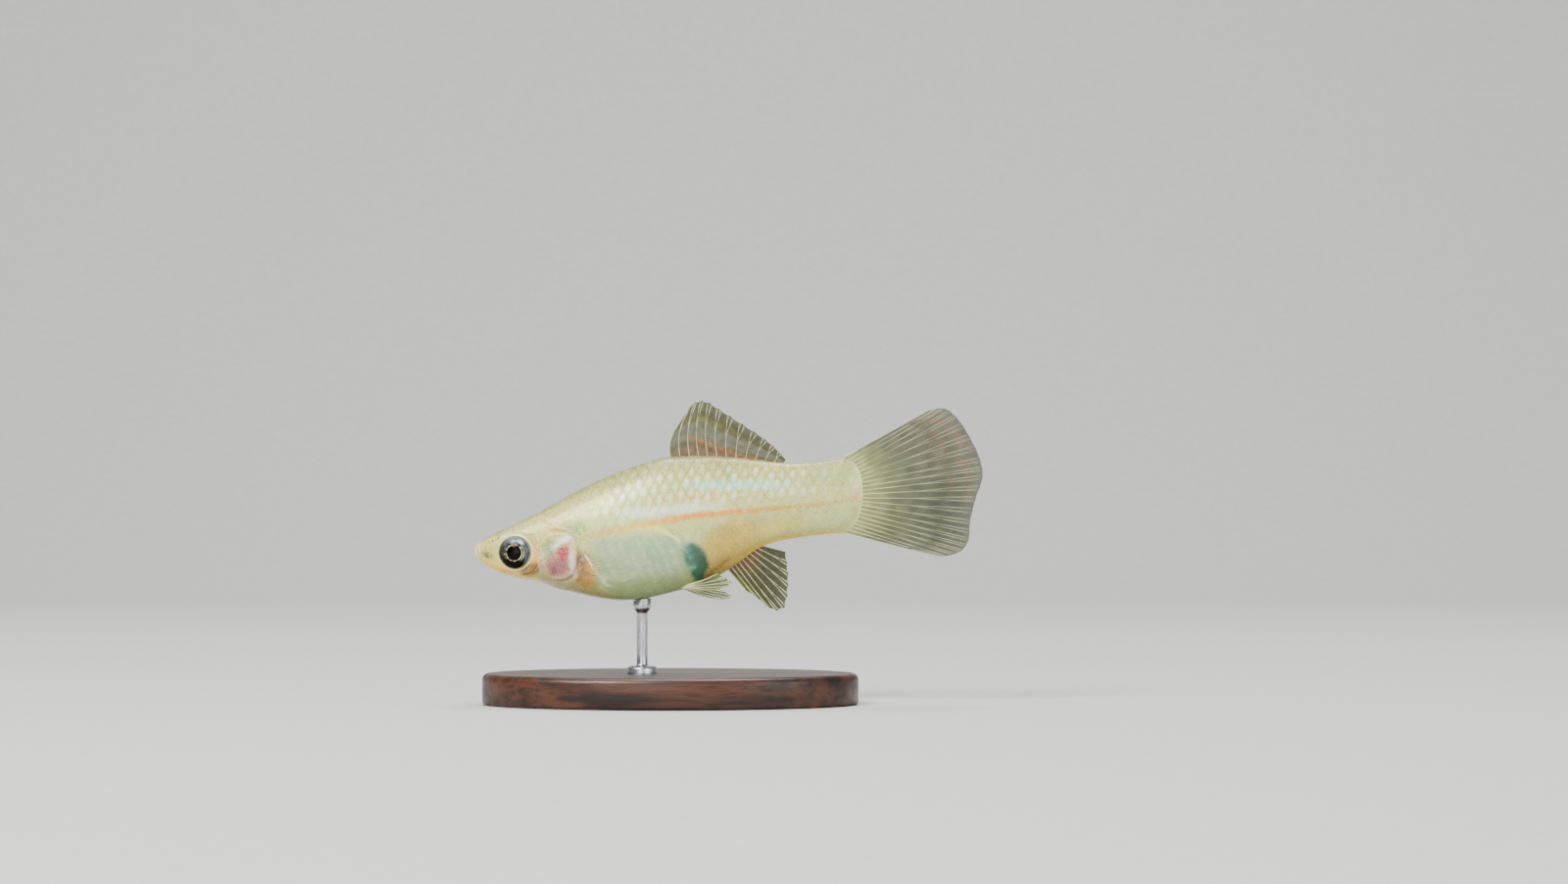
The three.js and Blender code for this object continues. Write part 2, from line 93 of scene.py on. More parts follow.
# Lines in the side view, as [x, z]
GILL_OUTLINE = [
    [8.9, 1.3], [9.8, 2.3], [11.2, 2.5], [12.6, 1.9], [13.35, 0.3], [13.3, -1.6], [12.5, -3.2],
    [11, -3.7], [9.5, -3.3], [8.7, -2.2], [8.5, -0.4],
]
GILL_BAND = [[8.9, -0.7], [9.6, 0.15], [10.6, 0.75], [11.6, 1.35], [12.5, 1.75]]
CHEEK_BONE = [[7.3, 2.1], [8.1, 1.2], [8.45, -0.3], [8.3, -1.7], [7.5, -2.8], [6.0, -3.25], [4.4, -3.0]]
JAW_EDGE = [[0.6, -0.35], [1.5, -0.6], [2.15, -1.3], [2.5, -2.2], [2.6, -2.9]]
SHOULDER_BONE = [[13.9, 2.6], [14.05, 0.4], [14.0, -1.8], [13.4, -3.4]]
NOSTRILS = [(2.45, 1.25), (3.1, 1.7)]
FIN_FOOT = [[14.55, -0.4], [14.85, -1.2], [15.15, -2], [15.4, -2.7]]
FIN_CREASE = [[14.4, -0.5], [15.0, -1.3], [15.7, -2.5], [16.4, -3.5], [17.1, -4.4]]
RUST_LINE = [[29.6, -3.4], [31.6, -1.7], [33.0, -0.6]]
STRIPE = [
    [13.4, 1.75], [15.1, 2.0], [19.1, 2.84], [22.25, 3.48], [25.45, 4.04], [28.6, 4.59], [31.8, 4.84],
    [34.5, 5.06], [39.6, 5.55], [44.75, 5.94], [48.25, 6.75], [50.0, 7.2],
]
UPPER_STRIPE = [
    [19.5, 5.6], [21.9, 6.1], [23.9, 6.5], [25.45, 6.66], [28.6, 6.9], [31.8, 7.3], [34.4, 7.46], [38.0, 7.8],
]
LOWER_GOLD = [
    [33.5, -1.6], [35, -0.5], [36, 0.2], [38.5, 1.15], [41, 1.65], [44, 2.05], [47, 2.3], [49.5, 2.2],
]
GOLD_ARC = [[20.4, 3.0], [21.4, 3.1], [23.2, 3.0], [24.6, 2.4], [26.4, 1.25]]

# Lines that cross the side view, as [z, x]: the mouth, and the front of the scales, which lies further
# forward over the nape and the throat
GAPE = [[-0.45, 0.58], [0.1, 0.46], [0.75, 0.34], [1.1, 0.26]]
SCALES_FRONT = [
    [-6, 11], [-4.6, 12.4], [-3.6, 13.6], [-3, 14], [1.6, 13.9], [2.6, 12.6], [3.6, 9.4], [5, 8.2],
]


# Lines, sections and the skin's surface


def table_line(table, place):
    """Straight lines through a table's points."""
    return np.interp(place, *np.array(table, float).T)


def smooth_line(table):
    """A cubic through the points, worked out in the square root of x so that the snout comes out round."""
    points = np.array(table, float)
    roots, values = np.sqrt(points[:, 0]), points[:, 1]
    last = len(roots) - 1
    before = np.maximum(np.arange(last + 1) - 1, 0)
    after = np.minimum(np.arange(last + 1) + 1, last)
    slopes = (values[after] - values[before]) / (roots[after] - roots[before])

    def line(x):
        s = np.sqrt(np.clip(x, points[0, 0], points[-1, 0]))
        i = np.clip(np.searchsorted(roots, s, side="left") - 1, 0, last - 1)
        step = roots[i + 1] - roots[i]
        t = (s - roots[i]) / step
        rest = 1 - t
        first = rest**2 * ((1 + 2 * t) * values[i] + t * step * slopes[i])
        return first + t**2 * ((3 - 2 * t) * values[i + 1] - rest * step * slopes[i + 1])

    return line


back, belly, half_width, widest_at, upper_squareness, lower_squareness = (
    smooth_line(table)
    for table in (BACK_LINE, BELLY_LINE, HALF_WIDTH_LINE, WIDEST_LINE, UPPER_LINE, LOWER_LINE)
)


def fade(value, low, high):
    """0 below low, 1 above high, and an even S between them."""
    t = np.clip((np.asarray(value, float) - low) / (high - low), 0, 1)
    return t * t * (3 - 2 * t)


def fall(value, low, high):
    """1 below low, 0 above high, and an even S between them."""
    return 1 - fade(value, low, high)


def between(value, start, full, ebb, end):
    """0 outside start and end, 1 from full to ebb, and an even S on each side."""
    return fade(value, start, full) * fall(value, ebb, end)


def ridge(distance, width):
    """1 on a line and falling away from it as a bell of that width."""
    return np.exp(-((distance / width) ** 2))


def unit(vectors):
    """The same directions at length 1."""
    return vectors / np.maximum(np.linalg.norm(vectors, axis=-1, keepdims=True), 1e-12)


def turns(count):
    """Even angles round a circle, without the first one again at the end."""
    return 2 * math.pi * np.arange(count) / count


def section(x, angle):
    """The body's section at x: half a squared oval above the widest height and another below it.
    The angle starts at the right flank and turns up over the back."""
    x, angle = np.broadcast_arrays(np.asarray(x, float), np.asarray(angle, float))
    across, upwards = np.cos(angle), np.sin(angle)
    top = upwards >= 0
    widest = widest_at(x)
    reach = np.where(top, back(x) - widest, widest - belly(x))
    power = 2 / np.where(top, upper_squareness(x), lower_squareness(x))
    y = half_width(x) * np.sign(across) * np.abs(across) ** power
    z = widest + reach * np.sign(upwards) * np.abs(upwards) ** power
    return np.stack([x, y, z], -1)


def stalk_end(angle):
    """Where the flesh ends behind, on an arc in the side view."""
    height = section(49.0, angle)[..., 2] - STALK_END["z"]
    return STALK_END["x"] + np.sqrt(STALK_END["radius"] ** 2 - height**2)


def flesh(x, angle, thinnest=0.0):
    """The section, drawn in to an edge along the arc where the tail fin's rays begin."""
    points = section(x, angle)
    left = np.clip((stalk_end(angle) - x) / STALK_END["thinning"], 0, 1) ** 0.6
    points[..., 1] *= np.maximum(left, thinnest)
    return points


def flesh_normal(x, angle, thinnest=0.0):
    """Outward normals: the cross product of the steps round the section and along the body."""
    turn, step = 0.006, 0.02
    around = flesh(x, angle + turn, thinnest) - flesh(x, angle - turn, thinnest)
    along = flesh(x + step, angle, thinnest) - flesh(np.maximum(x - step, 1e-4), angle, thinnest)
    return unit(np.cross(around, along))


def oval_share(away, reach, squareness):
    """The share of its full height that a squared oval has at a distance from its middle: the root of what
    the distance over the reach, raised to the squareness, leaves of 1."""
    return (1 - np.clip(away / reach, 0, 1) ** squareness) ** (1 / squareness)


def flank_at(x, z):
    """How far the side stands out from the middle plane at x and height z."""
    widest = widest_at(x)
    top = z >= widest
    reach = np.where(top, back(x) - widest, widest - belly(x))
    power = np.where(top, upper_squareness(x), lower_squareness(x))
    return half_width(x) * oval_share(np.abs(z - widest), reach, power)


def belly_height(x, y):
    """The height of the belly's skin at x and distance y from the middle plane."""
    widest = widest_at(x)
    return widest - (widest - belly(x)) * oval_share(np.abs(y), half_width(x), lower_squareness(x))


def line_distance(line, x, z):
    """Shortest distance in the side view from (x, z) to a line of straight pieces."""
    nearest = np.full(np.shape(x), np.inf)
    for (x0, z0), (x1, z1) in zip(line[:-1], line[1:]):
        dx, dz = x1 - x0, z1 - z0
        t = np.clip(((x - x0) * dx + (z - z0) * dz) / (dx * dx + dz * dz), 0, 1)
        nearest = np.minimum(nearest, np.hypot(x - x0 - t * dx, z - z0 - t * dz))
    return nearest


def round_curve(points, u, closed=False):
    """A centripetal Catmull-Rom curve through the points, with u from 0 to 1 by their order."""
    p = np.array(points, float)
    count = len(p)
    spans = count if closed else count - 1
    place = np.asarray(u, float) * spans
    i = np.clip(np.floor(place).astype(int), 0, spans - 1)
    t = (place - i)[..., None]
    if closed:
        ends = p[np.arange(-1, count + 2) % count]
    else:
        ends = np.vstack([2 * p[:1] - p[1:2], p, 2 * p[-1:] - p[-2:-1]])
    p0, p1, p2, p3 = (ends[i + k] for k in range(4))
    d0, d1, d2 = (
        np.sqrt(np.linalg.norm(b - a, axis=-1, keepdims=True)) for a, b in ((p0, p1), (p1, p2), (p2, p3))
    )
    m1 = ((p1 - p0) / d0 - (p2 - p0) / (d0 + d1) + (p2 - p1) / d1) * d1
    m2 = ((p2 - p1) / d1 - (p3 - p1) / (d1 + d2) + (p3 - p2) / d2) * d1
    return p1 + t * (m1 + t * ((3 * (p2 - p1) - 2 * m1 - m2) + t * (2 * (p1 - p2) + m1 + m2)))


def gill_edge(x, z):
    """Distance in the side view from the gill cover's outline, negative inside it."""
    outline = round_curve(GILL_OUTLINE, np.linspace(0, 1, 67)[:-1], closed=True)
    ring = np.vstack([outline, outline[:1]])
    inside = np.zeros(np.shape(x), bool)
    for (x0, z0), (x1, z1) in zip(ring[:-1], ring[1:]):
        crosses = (z0 > z) != (z1 > z)
        at = x0 + (z - z0) / (z1 - z0 + 1e-12) * (x1 - x0)
        inside ^= crosses & (x < at)
    return np.where(inside, -1, 1) * line_distance(ring, x, z)


def head_relief(points):
    """How far the skin stands out along its normal, as a sum of ridges and grooves drawn in the side view."""
    x, y, z = points[..., 0], np.abs(points[..., 1]), points[..., 2]
    side = fade(y, 0.5, 1.6)
    gape = x - table_line(GAPE, z)
    mouth = between(z, -0.62, -0.3, 0.6, 1.0) * fade(1.6 - x, 0, 0.5)
    height = mouth * (0.02 * ridge(gape - 0.26, 0.18) - 0.045 * ridge(gape, 0.09))
    socket = np.hypot(x - EYE["x"], z - EYE["z"])
    chin = np.hypot((x - 6.1) / 1.5, (z + 2.75) / 0.6)
    bone = line_distance(CHEEK_BONE, x, z)
    edge = gill_edge(x, z)
    rear = fade(x, 9.4, 11) * fade(z, -4.6, -3.4)
    ridges = [
        (-0.05, line_distance(JAW_EDGE, x, z), 0.1), (0.05, line_distance(JAW_EDGE, x - 0.22, z), 0.16),
        (0.11, socket - 2.16, 0.13), (-0.06, socket - 2.5, 0.14), (0.07, chin, 0.8),
        (0.06, bone - 0.18, 0.2), (-0.08, bone, 0.1),
        (0.05 * rear, edge + 0.35, 0.16), (-0.17 * rear, edge - 0.12, 0.12),
        (0.16, line_distance(FIN_FOOT, x, z), 0.4), (0.1, line_distance(SHOULDER_BONE, x, z), 0.22),
    ]
    for x0, z0 in NOSTRILS:
        away = np.hypot(x - x0, z - z0)
        ridges += [(0.02, away - 0.22, 0.08), (-0.12, away, 0.1)]
    for rise, distance, width in ridges:
        height += side * rise * ridge(distance, width)
    spokes = np.cos(26 * np.arctan2(z + 0.9, x - 8.4))
    height += side * 0.14 * fade(-edge, -0.02, 0.22) * fade(x, 8.6, 10.5)
    height += side * 0.018 * spokes * fade(-edge, 0.3, 1.2)
    for k in (0.0, 0.55, 1.1):
        fold = [(4.2 + k, -2.6 - 0.35 * k), (7.5, -3.55 - 0.3 * k), (11.4, -4.55 - 0.2 * k)]
        height -= 0.06 * ridge(line_distance(fold, x, z), 0.09) * fade(-z, 2.4, 3.0)
    return height


def eye_plane(x):
    """How far out the eye's edge lies, on a plane turned a little towards the front."""
    return EYE["y"] + (x - EYE["x"]) * math.tan(EYE["turn"])


# Markings, the same on skin and scales


def over(under, colour, share):
    """A colour of 0 to 255 laid over another by a share from 0 to 1."""
    return under + (np.array(colour, float) / 255 - under) * np.asarray(share)[..., None]


def ripple(x, z, wave, seed):
    """An even, seeded unevenness from -1 to 1: six plane waves of about that length, added."""
    draw = np.random.default_rng(seed)
    turn = draw.uniform(0, 2 * math.pi, 6)
    phase = draw.uniform(0, 2 * math.pi, 6)
    rate = 2 * math.pi / (wave * draw.uniform(0.7, 1.5, 6))
    waves = [np.sin((x * math.cos(t) + z * math.sin(t)) * r + p) for t, r, p in zip(turn, rate, phase)]
    return np.sum(waves, 0) / 3.2


class Coat:
    """Colours laid over each other at points of a flat picture, such as the side view or a fin's sheet."""

    def __init__(self, x, z, colour):
        self.x, self.z = x, z
        self.colour = np.zeros(np.shape(x) + (3,)) + colour

    def lay(self, *layers):
        """Lays each colour over those below it by its share from 0 to 1."""
        for colour, share in layers:
            self.colour = over(self.colour, colour, share)

    def spot(self, x, z, long, high, tilt=0.0, power=3):
        """A soft oval: e to minus a power of the distance from its middle, measured in its own two radii."""
        dx, dz = self.x - x, self.z - z
        a = (dx * math.cos(tilt) + dz * math.sin(tilt)) / long
        b = (dz * math.cos(tilt) - dx * math.sin(tilt)) / high
        return np.exp(-((a * a + b * b) ** (power / 2)))

    def plate(self, x, z, long, high, tilt=0.0):
        """A spot with a flat middle and quicker edges."""
        return np.clip(1.25 * self.spot(x, z, long, high, tilt, 4), 0, 1)

    def line(self, points, width):
        """A soft line through the points."""
        return ridge(line_distance(points, self.x, self.z), width)


class BodyCoat(Coat):
    """The skin's colour with its silvery shine, and its shares of bright grains and of brown dots. They all
    start from the height between belly and back, and the methods lay one part's markings after another."""

    LEVELS = [0, 0.1, 0.3, 0.5, 0.66, 0.82, 0.94, 1]
    TONES = [
        [160, 166, 124], [174, 186, 148], [192, 200, 164], [208, 210, 166], [216, 222, 176],
        [200, 200, 147], [184, 181, 129], [158, 152, 102],
    ]
    SHINE = [[0, 0.25], [0.15, 0.4], [0.4, 0.5], [0.7, 0.55], [0.9, 0.35], [1, 0.15]]
    GRAINS = [[0, 0.05], [0.3, 0.1], [0.5, 0.3], [0.9, 0.34], [1, 0.2]]

    def __init__(self, points):
        x, z = points[..., 0], points[..., 2]
        low, high = belly(x), back(x)
        share = np.clip((z - low) / np.maximum(high - low, 0.1), 0, 1)
        bands = [np.interp(share, self.LEVELS, values) for values in np.array(self.TONES).T / 255]
        super().__init__(x, z, np.stack(bands, -1))
        self.share, self.out = share, np.abs(points[..., 1])
        self.cloud = ripple(x, z, 3.0, 3) * 0.5 + ripple(x, z, 1.1, 4) * 0.5
        self.fine = ripple(x, z, 0.5, 5)
        self.shine, self.grains = table_line(self.SHINE, share), table_line(self.GRAINS, share)
        self.dots = 0.02 + 0.06 * fade(share, 0.8, 1)

    def streaks(self, along, wave, waver):
        """Even streaks across a distance, from -1 to 1, that waver with the clouding."""
        return np.sin(along * 2 * math.pi / wave + waver * self.cloud)

    def speckled(self, depth):
        """1 at most, and unevenly lower by up to about twice the depth."""
        return (1 - depth) + depth * self.fine

    def hind_body(self):
        """The cream stalk, the grey-green brood with faint streaks, the ochre patch and the rust below it."""
        x, z, spot, plate = self.x, self.z, self.spot, self.plate
        womb = between(x, 14.8, 16.6, 25.6, 27.6) * fade(0.05 * (x - 20) - z, -2.5, -1.3)
        streaks = fade(self.streaks(x + z / 2.2, 1.25, 1.8), 0.35, 1)
        rust = plate(30.9, -2.1, 2.5, 1.0, 0.62)
        self.lay(
            ((203, 200, 154), 0.6 * fade(x, 33, 40) * fall(self.share, 0.85, 1)),
            ((178, 190, 150), 0.55 * spot(46.0, 9.6, 3.8, 1.7, 0.1)),
            ((196, 202, 172), 0.5 * spot(46.5, 4.4, 3.6, 1.6, 0.1)),
            ((172, 188, 168), 0.95 * womb * fade(z, -4.6, -2.0)),
            ((174, 188, 154), 0.85 * womb * fade(-z, 2.4, 4.8)),
            ((214, 224, 204), 0.5 * womb * streaks * fade(z, -4.6, -2.4)),
            ((205, 183, 122), 0.9 * plate(32.9, 0.9, 4.4, 2.9, 0.5)),
            ((222, 206, 148), 0.75 * spot(38.0, 2.9, 3.4, 1.3, 0.25)),
            ((190, 162, 108), 0.8 * rust),
            ((134, 104, 64), 0.5 * rust * self.line(RUST_LINE, 0.16)),
            ((216, 214, 168), 0.6 * spot(27.2, 1.9, 1.4, 0.5, -0.5)),
        )
        self.grains = self.grains * (1 - 0.8 * womb)

    def bright_bands(self):
        """The white-blue band over the stripe, the turquoise one higher up and the cream between them."""
        x, z = self.x, self.z
        blue = between(x, 17.6, 21, 29.5, 33) * np.exp(-np.abs((z - 4.85 - 0.085 * (x - 19.5)) / 0.62) ** 3)
        glow = between(x, 26, 30, 38, 42) * np.exp(-np.abs((z - 8.35) / 0.6) ** 3)
        self.lay(
            ((238, 246, 246), 0.95 * blue * self.speckled(0.12)),
            ((196, 236, 224), 0.8 * glow),
            ((222, 212, 158), 0.45 * self.spot(30, 6.5, 9, 0.8, 0.09, 4)),
        )
        self.shine = self.shine + 0.5 * blue + 0.4 * glow
        self.grains = self.grains + 0.5 * blue + 0.2 * glow

    def brood_spot(self, colour):
        """The dark spot over the brood, which leans forward as it rises, its darker rear and teal gleam."""
        x, z = self.x, self.z
        lean = Coat(x + 0.3 * (z + 1.0), z, 0)
        whole = lean.spot(28.35, -0.9, 1.6, 2.15, 0.0, 4) + 0.9 * lean.spot(27.9, -3.1, 0.85, 0.9, 0.2)
        whole = np.clip(whole * (1 + 0.22 * self.cloud), 0, 1)
        rear = fade(x + 0.5 * z, 27.6, 29.2) * fade(-z, -0.4, 1.8)
        self.lay(
            (colour, 0.95 * fade(whole, 0.2, 0.8)),
            ((72, 96, 84), 0.75 * fade(whole, 0.3, 0.8) * rear),
            ((112, 176, 172), 0.75 * lean.spot(27.6, -0.2, 0.6, 1.3) * self.speckled(0.25)),
            ((156, 205, 188), 0.75 * self.spot(27.9, -2.1, 0.5, 0.3, 0.6)),
        )
        self.shine = self.shine * (1 - 0.6 * whole)
        self.grains = self.grains * (1 - whole)

    def head_and_cheek(self):
        """Olive above, cream on jaw and throat, a pink bar behind the eye and a brown speckled cheek."""
        x, z, share, spot, plate = self.x, self.z, self.share, self.spot, self.plate
        head = self.head = fall(x - 0.28 * (z - 1), 12.2, 14.2)
        streaks = fade(self.streaks(z - 0.42 * x, 0.42, 1), 0.1, 0.8)
        pink, cheek = plate(8.0, -0.3, 0.55, 1.9, 0.02), plate(7.3, -2.35, 1.35, 0.75, 0.3)
        self.lay(
            ((196, 189, 137), 0.9 * head),
            ((186, 184, 138), 0.8 * head * fade(z, 1.6, 2.6) * fall(x, 5.5, 8)),
            ((232, 216, 156), 0.9 * head * fade(-z, -0.4, 1.8) * fall(x, 7, 8.6)),
            ((200, 192, 158), 0.85 * head * fade(-z, 2.6, 3.8) * fade(x, 7, 9)),
            ((238, 226, 182), 0.8 * head * fall(share, 0.02, 0.12) * fall(x, 8, 10)),
            ((196, 186, 124), 0.6 * spot(8.2, 3.6, 1.6, 1.0, 0.4)),
            ((204, 178, 126), 0.6 * spot(10.6, 3.4, 1.3, 0.9, 0.3)),
            ((128, 120, 86), 0.5 * head * fade(share, 0.9, 1.0)),
            ((128, 128, 104), 0.5 * spot(3.8, 2.45, 1.2, 0.5, 0.42) * streaks),
            ((238, 188, 110), 0.7 * spot(4.3, -2.6, 0.95, 0.36, -0.25)),
            ((228, 192, 156), 0.8 * pink),
            ((220, 156, 92), 0.7 * spot(7.9, -1.6, 0.55, 0.5)),
            ((158, 122, 84), 0.75 * cheek),
        )
        self.dots = self.dots + 0.8 * cheek + 0.2 * pink + 0.06 * head

    def gill_cover(self, colour):
        """Mauve with fine threads, crimson above, a pale bar before, a pale rim behind and a white band."""
        x, z, fine, spot, plate = self.x, self.z, self.fine, self.spot, self.plate
        gills = plate(11.0, -1.5, 1.75, 1.9)
        crimson = plate(11.45, -0.1, 0.8, 1.2, -0.25) * fade(x + 0.55 * z, 10.4, 11.0)
        threads = self.streaks(x + 0.35 * z, 0.42, 1.2)
        rim = plate(12.75, -1.5, 0.42, 2.1, 0.05)
        band = self.line(GILL_BAND, 0.62)
        self.lay(
            ((198, 150, 150), 0.85 * gills),
            ((162, 112, 122), 0.8 * plate(10.9, -1.9, 1.35, 1.05, 0.1) * self.speckled(0.18)),
            ((164, 90, 100), 0.6 * spot(10.35, -2.35, 0.3, 0.75, -0.35)),
            (colour, 0.98 * crimson * self.speckled(0.1)),
            ((150, 84, 104), 0.28 * gills * fade(threads, 0.2, 1)),
            ((226, 200, 206), 0.3 * gills * fade(-threads, 0.4, 1) * fade(fine, -0.3, 0.5)),
            ((198, 192, 166), 0.75 * plate(11.0, -3.7, 2.2, 0.55, -0.05)),
            ((188, 180, 160), 0.9 * plate(8.85, -2.1, 0.36, 1.75, 0.02)),
            ((214, 202, 200), 0.95 * rim),
            ((120, 140, 114), 0.8 * spot(9.75, 0.35, 0.8, 1.0) * self.speckled(0.25)),
            ((226, 234, 232), 0.9 * self.line(GILL_BAND, 0.34) * fade(x, 9.6, 10.6)),
            ((248, 252, 255), 0.95 * spot(11.8, 1.6, 0.8, 0.36, 0.35)),
        )
        grains = self.grains * (1 - gills) + 0.9 * band + 0.25 * rim + 0.12 * crimson
        self.grains = np.clip(grains + 0.2 * self.head * fade(z, 0.5, 2), 0, 1)
        self.shine = self.shine + 0.3 * band + 0.2 * self.head * fade(-z, -1.5, 0.5) * (1 - gills)

    def shoulder(self):
        """The olive shoulder, the rusty foot of the pectoral fin with its pale crease, and the throat."""
        x, z, spot, plate = self.x, self.z, self.spot, self.plate
        shoulder = spot(13.3, 2.7, 1.6, 1.1, -0.3)
        root = plate(14.15, -2.0, 1.35, 1.9, 0.35) * fade(x, 13.0, 13.5)
        crease = line_distance(FIN_CREASE, x, z)
        rays = np.sin(34 * np.arctan2(z + 3.0, x - 13.4))
        rays = fade(rays, 0.2, 0.9) * between(crease, 0.0, 0.2, 0.5, 1.2)
        self.lay(
            ((158, 174, 116), 0.75 * shoulder * self.speckled(0.2)),
            ((180, 144, 112), 0.9 * root),
            ((158, 112, 98), 0.75 * spot(13.9, -1.0, 0.6, 1.0, 0.4)),
            ((206, 150, 82), 0.85 * plate(14.85, -2.3, 0.55, 0.95, 0.45)),
            ((190, 186, 148), 0.8 * plate(14.2, -5.2, 3.4, 0.95, -0.15)),
            ((196, 160, 112), 0.85 * plate(14.4, -3.9, 1.5, 0.75, -0.1)),
            ((240, 236, 208), 0.9 * ridge(crease, 0.2)),
            ((226, 232, 212), 0.6 * rays * fade(x - 0.5 * z, 14.9, 15.3) * fade(-z, -0.2, 0.6)),
        )
        self.grains = self.grains + 0.25 * shoulder
        self.dots = self.dots + 0.25 * shoulder + 0.6 * root * fade(z, -3.6, -2.4)

    def snout(self):
        """Pale lips, painted shade in the mouth's corner and along its line, the nostrils and the gill slit,
        and the pale skin round the eye.
        """
        x, z, out = self.x, self.z, self.out
        # Painted shade in the corner of the mouth, unevenly broken up, with brown dots in it
        mouth_corner_shade = self.spot(1.75, -0.5, 0.95, 0.42, -0.3)
        self.lay(
            ((112, 100, 64), 0.7 * mouth_corner_shade * (0.35 + 0.65 * fade(ripple(x, z, 0.7, 41), -0.8, 0.5))),
            ((242, 234, 212), 0.85 * fall(x + 0.35 * np.abs(z), 0.2, 1.7)),
            # Painted shade along the mouth line
            ((140, 118, 92), 0.4 * between(z, -0.62, -0.3, 0.5, 0.9) * ridge(x - table_line(GAPE, z), 0.09)),
        )
        # Painted shade in each nostril
        for x0, z0 in NOSTRILS:
            self.lay(((90, 84, 66), 0.55 * ridge(np.hypot(x - x0, z - z0), 0.12) * fade(out, 0.5, 1.2)))
        lid = ridge(np.hypot(x - EYE["x"], z - EYE["z"]) - 2.2, 0.2) * fade(out, 0.8, 1.6)
        # Painted shade in the slit behind the gill cover
        slit = ridge(gill_edge(x, z) - 0.12, 0.1) * fade(x, 9.6, 11) * fade(out, 0.6, 1.5)
        self.lay(((236, 230, 208), 0.7 * lid), ((132, 104, 78), 0.4 * slit))
        self.dots = self.dots + 0.5 * mouth_corner_shade
        self.grains = self.grains + 0.5 * lid * fade(z, 0, 1.2)

    def stalk_rim(self):
        """The broken pale arc where the tail stalk ends, over a pinkish patch."""
        x, z = self.x, self.z
        ring = np.hypot(x - STALK_END["x"], z - STALK_END["z"]) - STALK_END["radius"]
        arc = ridge(ring + 0.46, 0.3) * fade(x, 46, 47) * between(z, 2.2, 5.4, 9.6, 11.8)
        arc = arc * (0.6 + 0.4 * fade(self.fine, -0.5, 0.5))
        self.lay(((216, 176, 160), 0.5 * self.spot(48.4, 6.9, 1.1, 0.7, 0.2)), ((250, 250, 238), 0.9 * arc))
        self.grains = self.grains + 0.6 * arc


def markings(points, look):
    """What shows at points of the body: its paint, shine, and shares of bright grains and of brown dots."""
    coat = BodyCoat(points)
    coat.hind_body()
    coat.bright_bands()
    coat.brood_spot(screen(look.spot))
    coat.head_and_cheek()
    coat.gill_cover(screen(look.gill))
    coat.shoulder()
    coat.snout()
    coat.stalk_rim()
    colour = coat.colour * (1 + 0.03 * coat.cloud[..., None] + 0.015 * coat.fine[..., None])
    return [paint(colour)] + [np.clip(share, 0, 1) for share in (coat.shine, coat.grains, coat.dots)]


def paint(colour):
    """The paint that shows as a colour of 0 to 1 under the stage's lights, which pale what is bright: grey is
    steepened, the distance from grey widened, more where it is brighter, and a little blue taken off."""
    grey = (colour @ np.array([0.3, 0.59, 0.11]))[..., None]
    gain = 0.85 + 1.05 * fade(grey, 0.42, 0.9)
    return np.clip(1.32 * grey - 0.26 + gain * (colour - grey) - (0, 0.004, 0.035), 0.01, 0.99)


def tone(*values):
    """Paint for a colour given as screen values of 0 to 255."""
    return tuple(255 * paint(np.array(values) / 255))


def screen(colour):
    """Screen values of 0 to 255 for a setting's colour of 0 to 1."""
    return tuple(255 * value for value in colour)


def linear(colour):
    """Screen values of 0 to 1 turned into amounts of light."""
    return np.where(colour <= 0.04045, colour / 12.92, ((colour + 0.055) / 1.055) ** 2.4)


# Meshes


def make_piece(name, points, faces, at=SNOUT):
    """A mesh object from points in millimetres and lists of faces, riding on the model's one body."""
    mesh = bpy.data.meshes.new(name)
    corners = [face for group in faces for face in np.asarray(group).tolist()]
    mesh.from_pydata(((np.reshape(points, (-1, 3)) + at) * MM).tolist(), [], corners)
    mesh.polygons.foreach_set("use_smooth", np.ones(len(mesh.polygons), bool))
    mesh.update()
    mesh.set_sharp_from_angle(angle=math.radians(50))
    piece = bpy.data.objects.new(name, mesh)
    bpy.context.scene.collection.objects.link(piece)
    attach(piece, "root")
    return piece


def grid_faces(rows, columns, closed=False, start=0):
    """Four-cornered faces over a grid of rows, whose columns meet again at the end if it is closed."""
    r, c = np.meshgrid(np.arange(rows - 1), np.arange(columns if closed else columns - 1), indexing="ij")
    nxt = (c + 1) % columns
    quads = np.stack([r * columns + c, r * columns + nxt, (r + 1) * columns + nxt, (r + 1) * columns + c], -1)
    return quads.reshape(-1, 4) + start


def capped_faces(rings, around):
    """Faces of a closed form whose points are a first end, rings and a last end: a fan, walls and a fan."""
    k = np.arange(around)
    end = 1 + (rings - 1) * around
    first = np.stack([0 * k, 1 + (k + 1) % around, 1 + k], -1)
    last = np.stack([0 * k + end + around, end + k, end + (k + 1) % around], -1)
    return [first, grid_faces(rings, around, closed=True, start=1), last]


def repeated(parts, copies, block):
    """The faces of one form, again for each of its copies, whose points follow each other in blocks."""
    starts = (np.arange(copies) * block)[:, None, None]
    return [(part[None] + starts).reshape(-1, part.shape[1]) for part in parts]


def mirrored(parts):
    """The same faces turned the other way."""
    return [part[:, ::-1] for part in parts]


def turn_outwards(piece):
    """Turns every face of a closed mesh outwards."""
    made = bmesh.new()
    made.from_mesh(piece.data)
    bmesh.ops.recalc_face_normals(made, faces=made.faces)
    made.to_mesh(piece.data)
    made.free()


def set_values(piece, **stored):
    """Stores numbers or colours for the points of a mesh, one list of them under each name."""
    for name, values in stored.items():
        values = np.asarray(values, np.float32)
        if values.ndim > 1:
            lights = np.ones((len(values), 4), np.float32)
            lights[:, :3] = linear(values[:, :3])
            piece.data.attributes.new(name, "FLOAT_COLOR", "POINT").data.foreach_set("color", lights.ravel())
        else:
            piece.data.attributes.new(name, "FLOAT", "POINT").data.foreach_set("value", values)


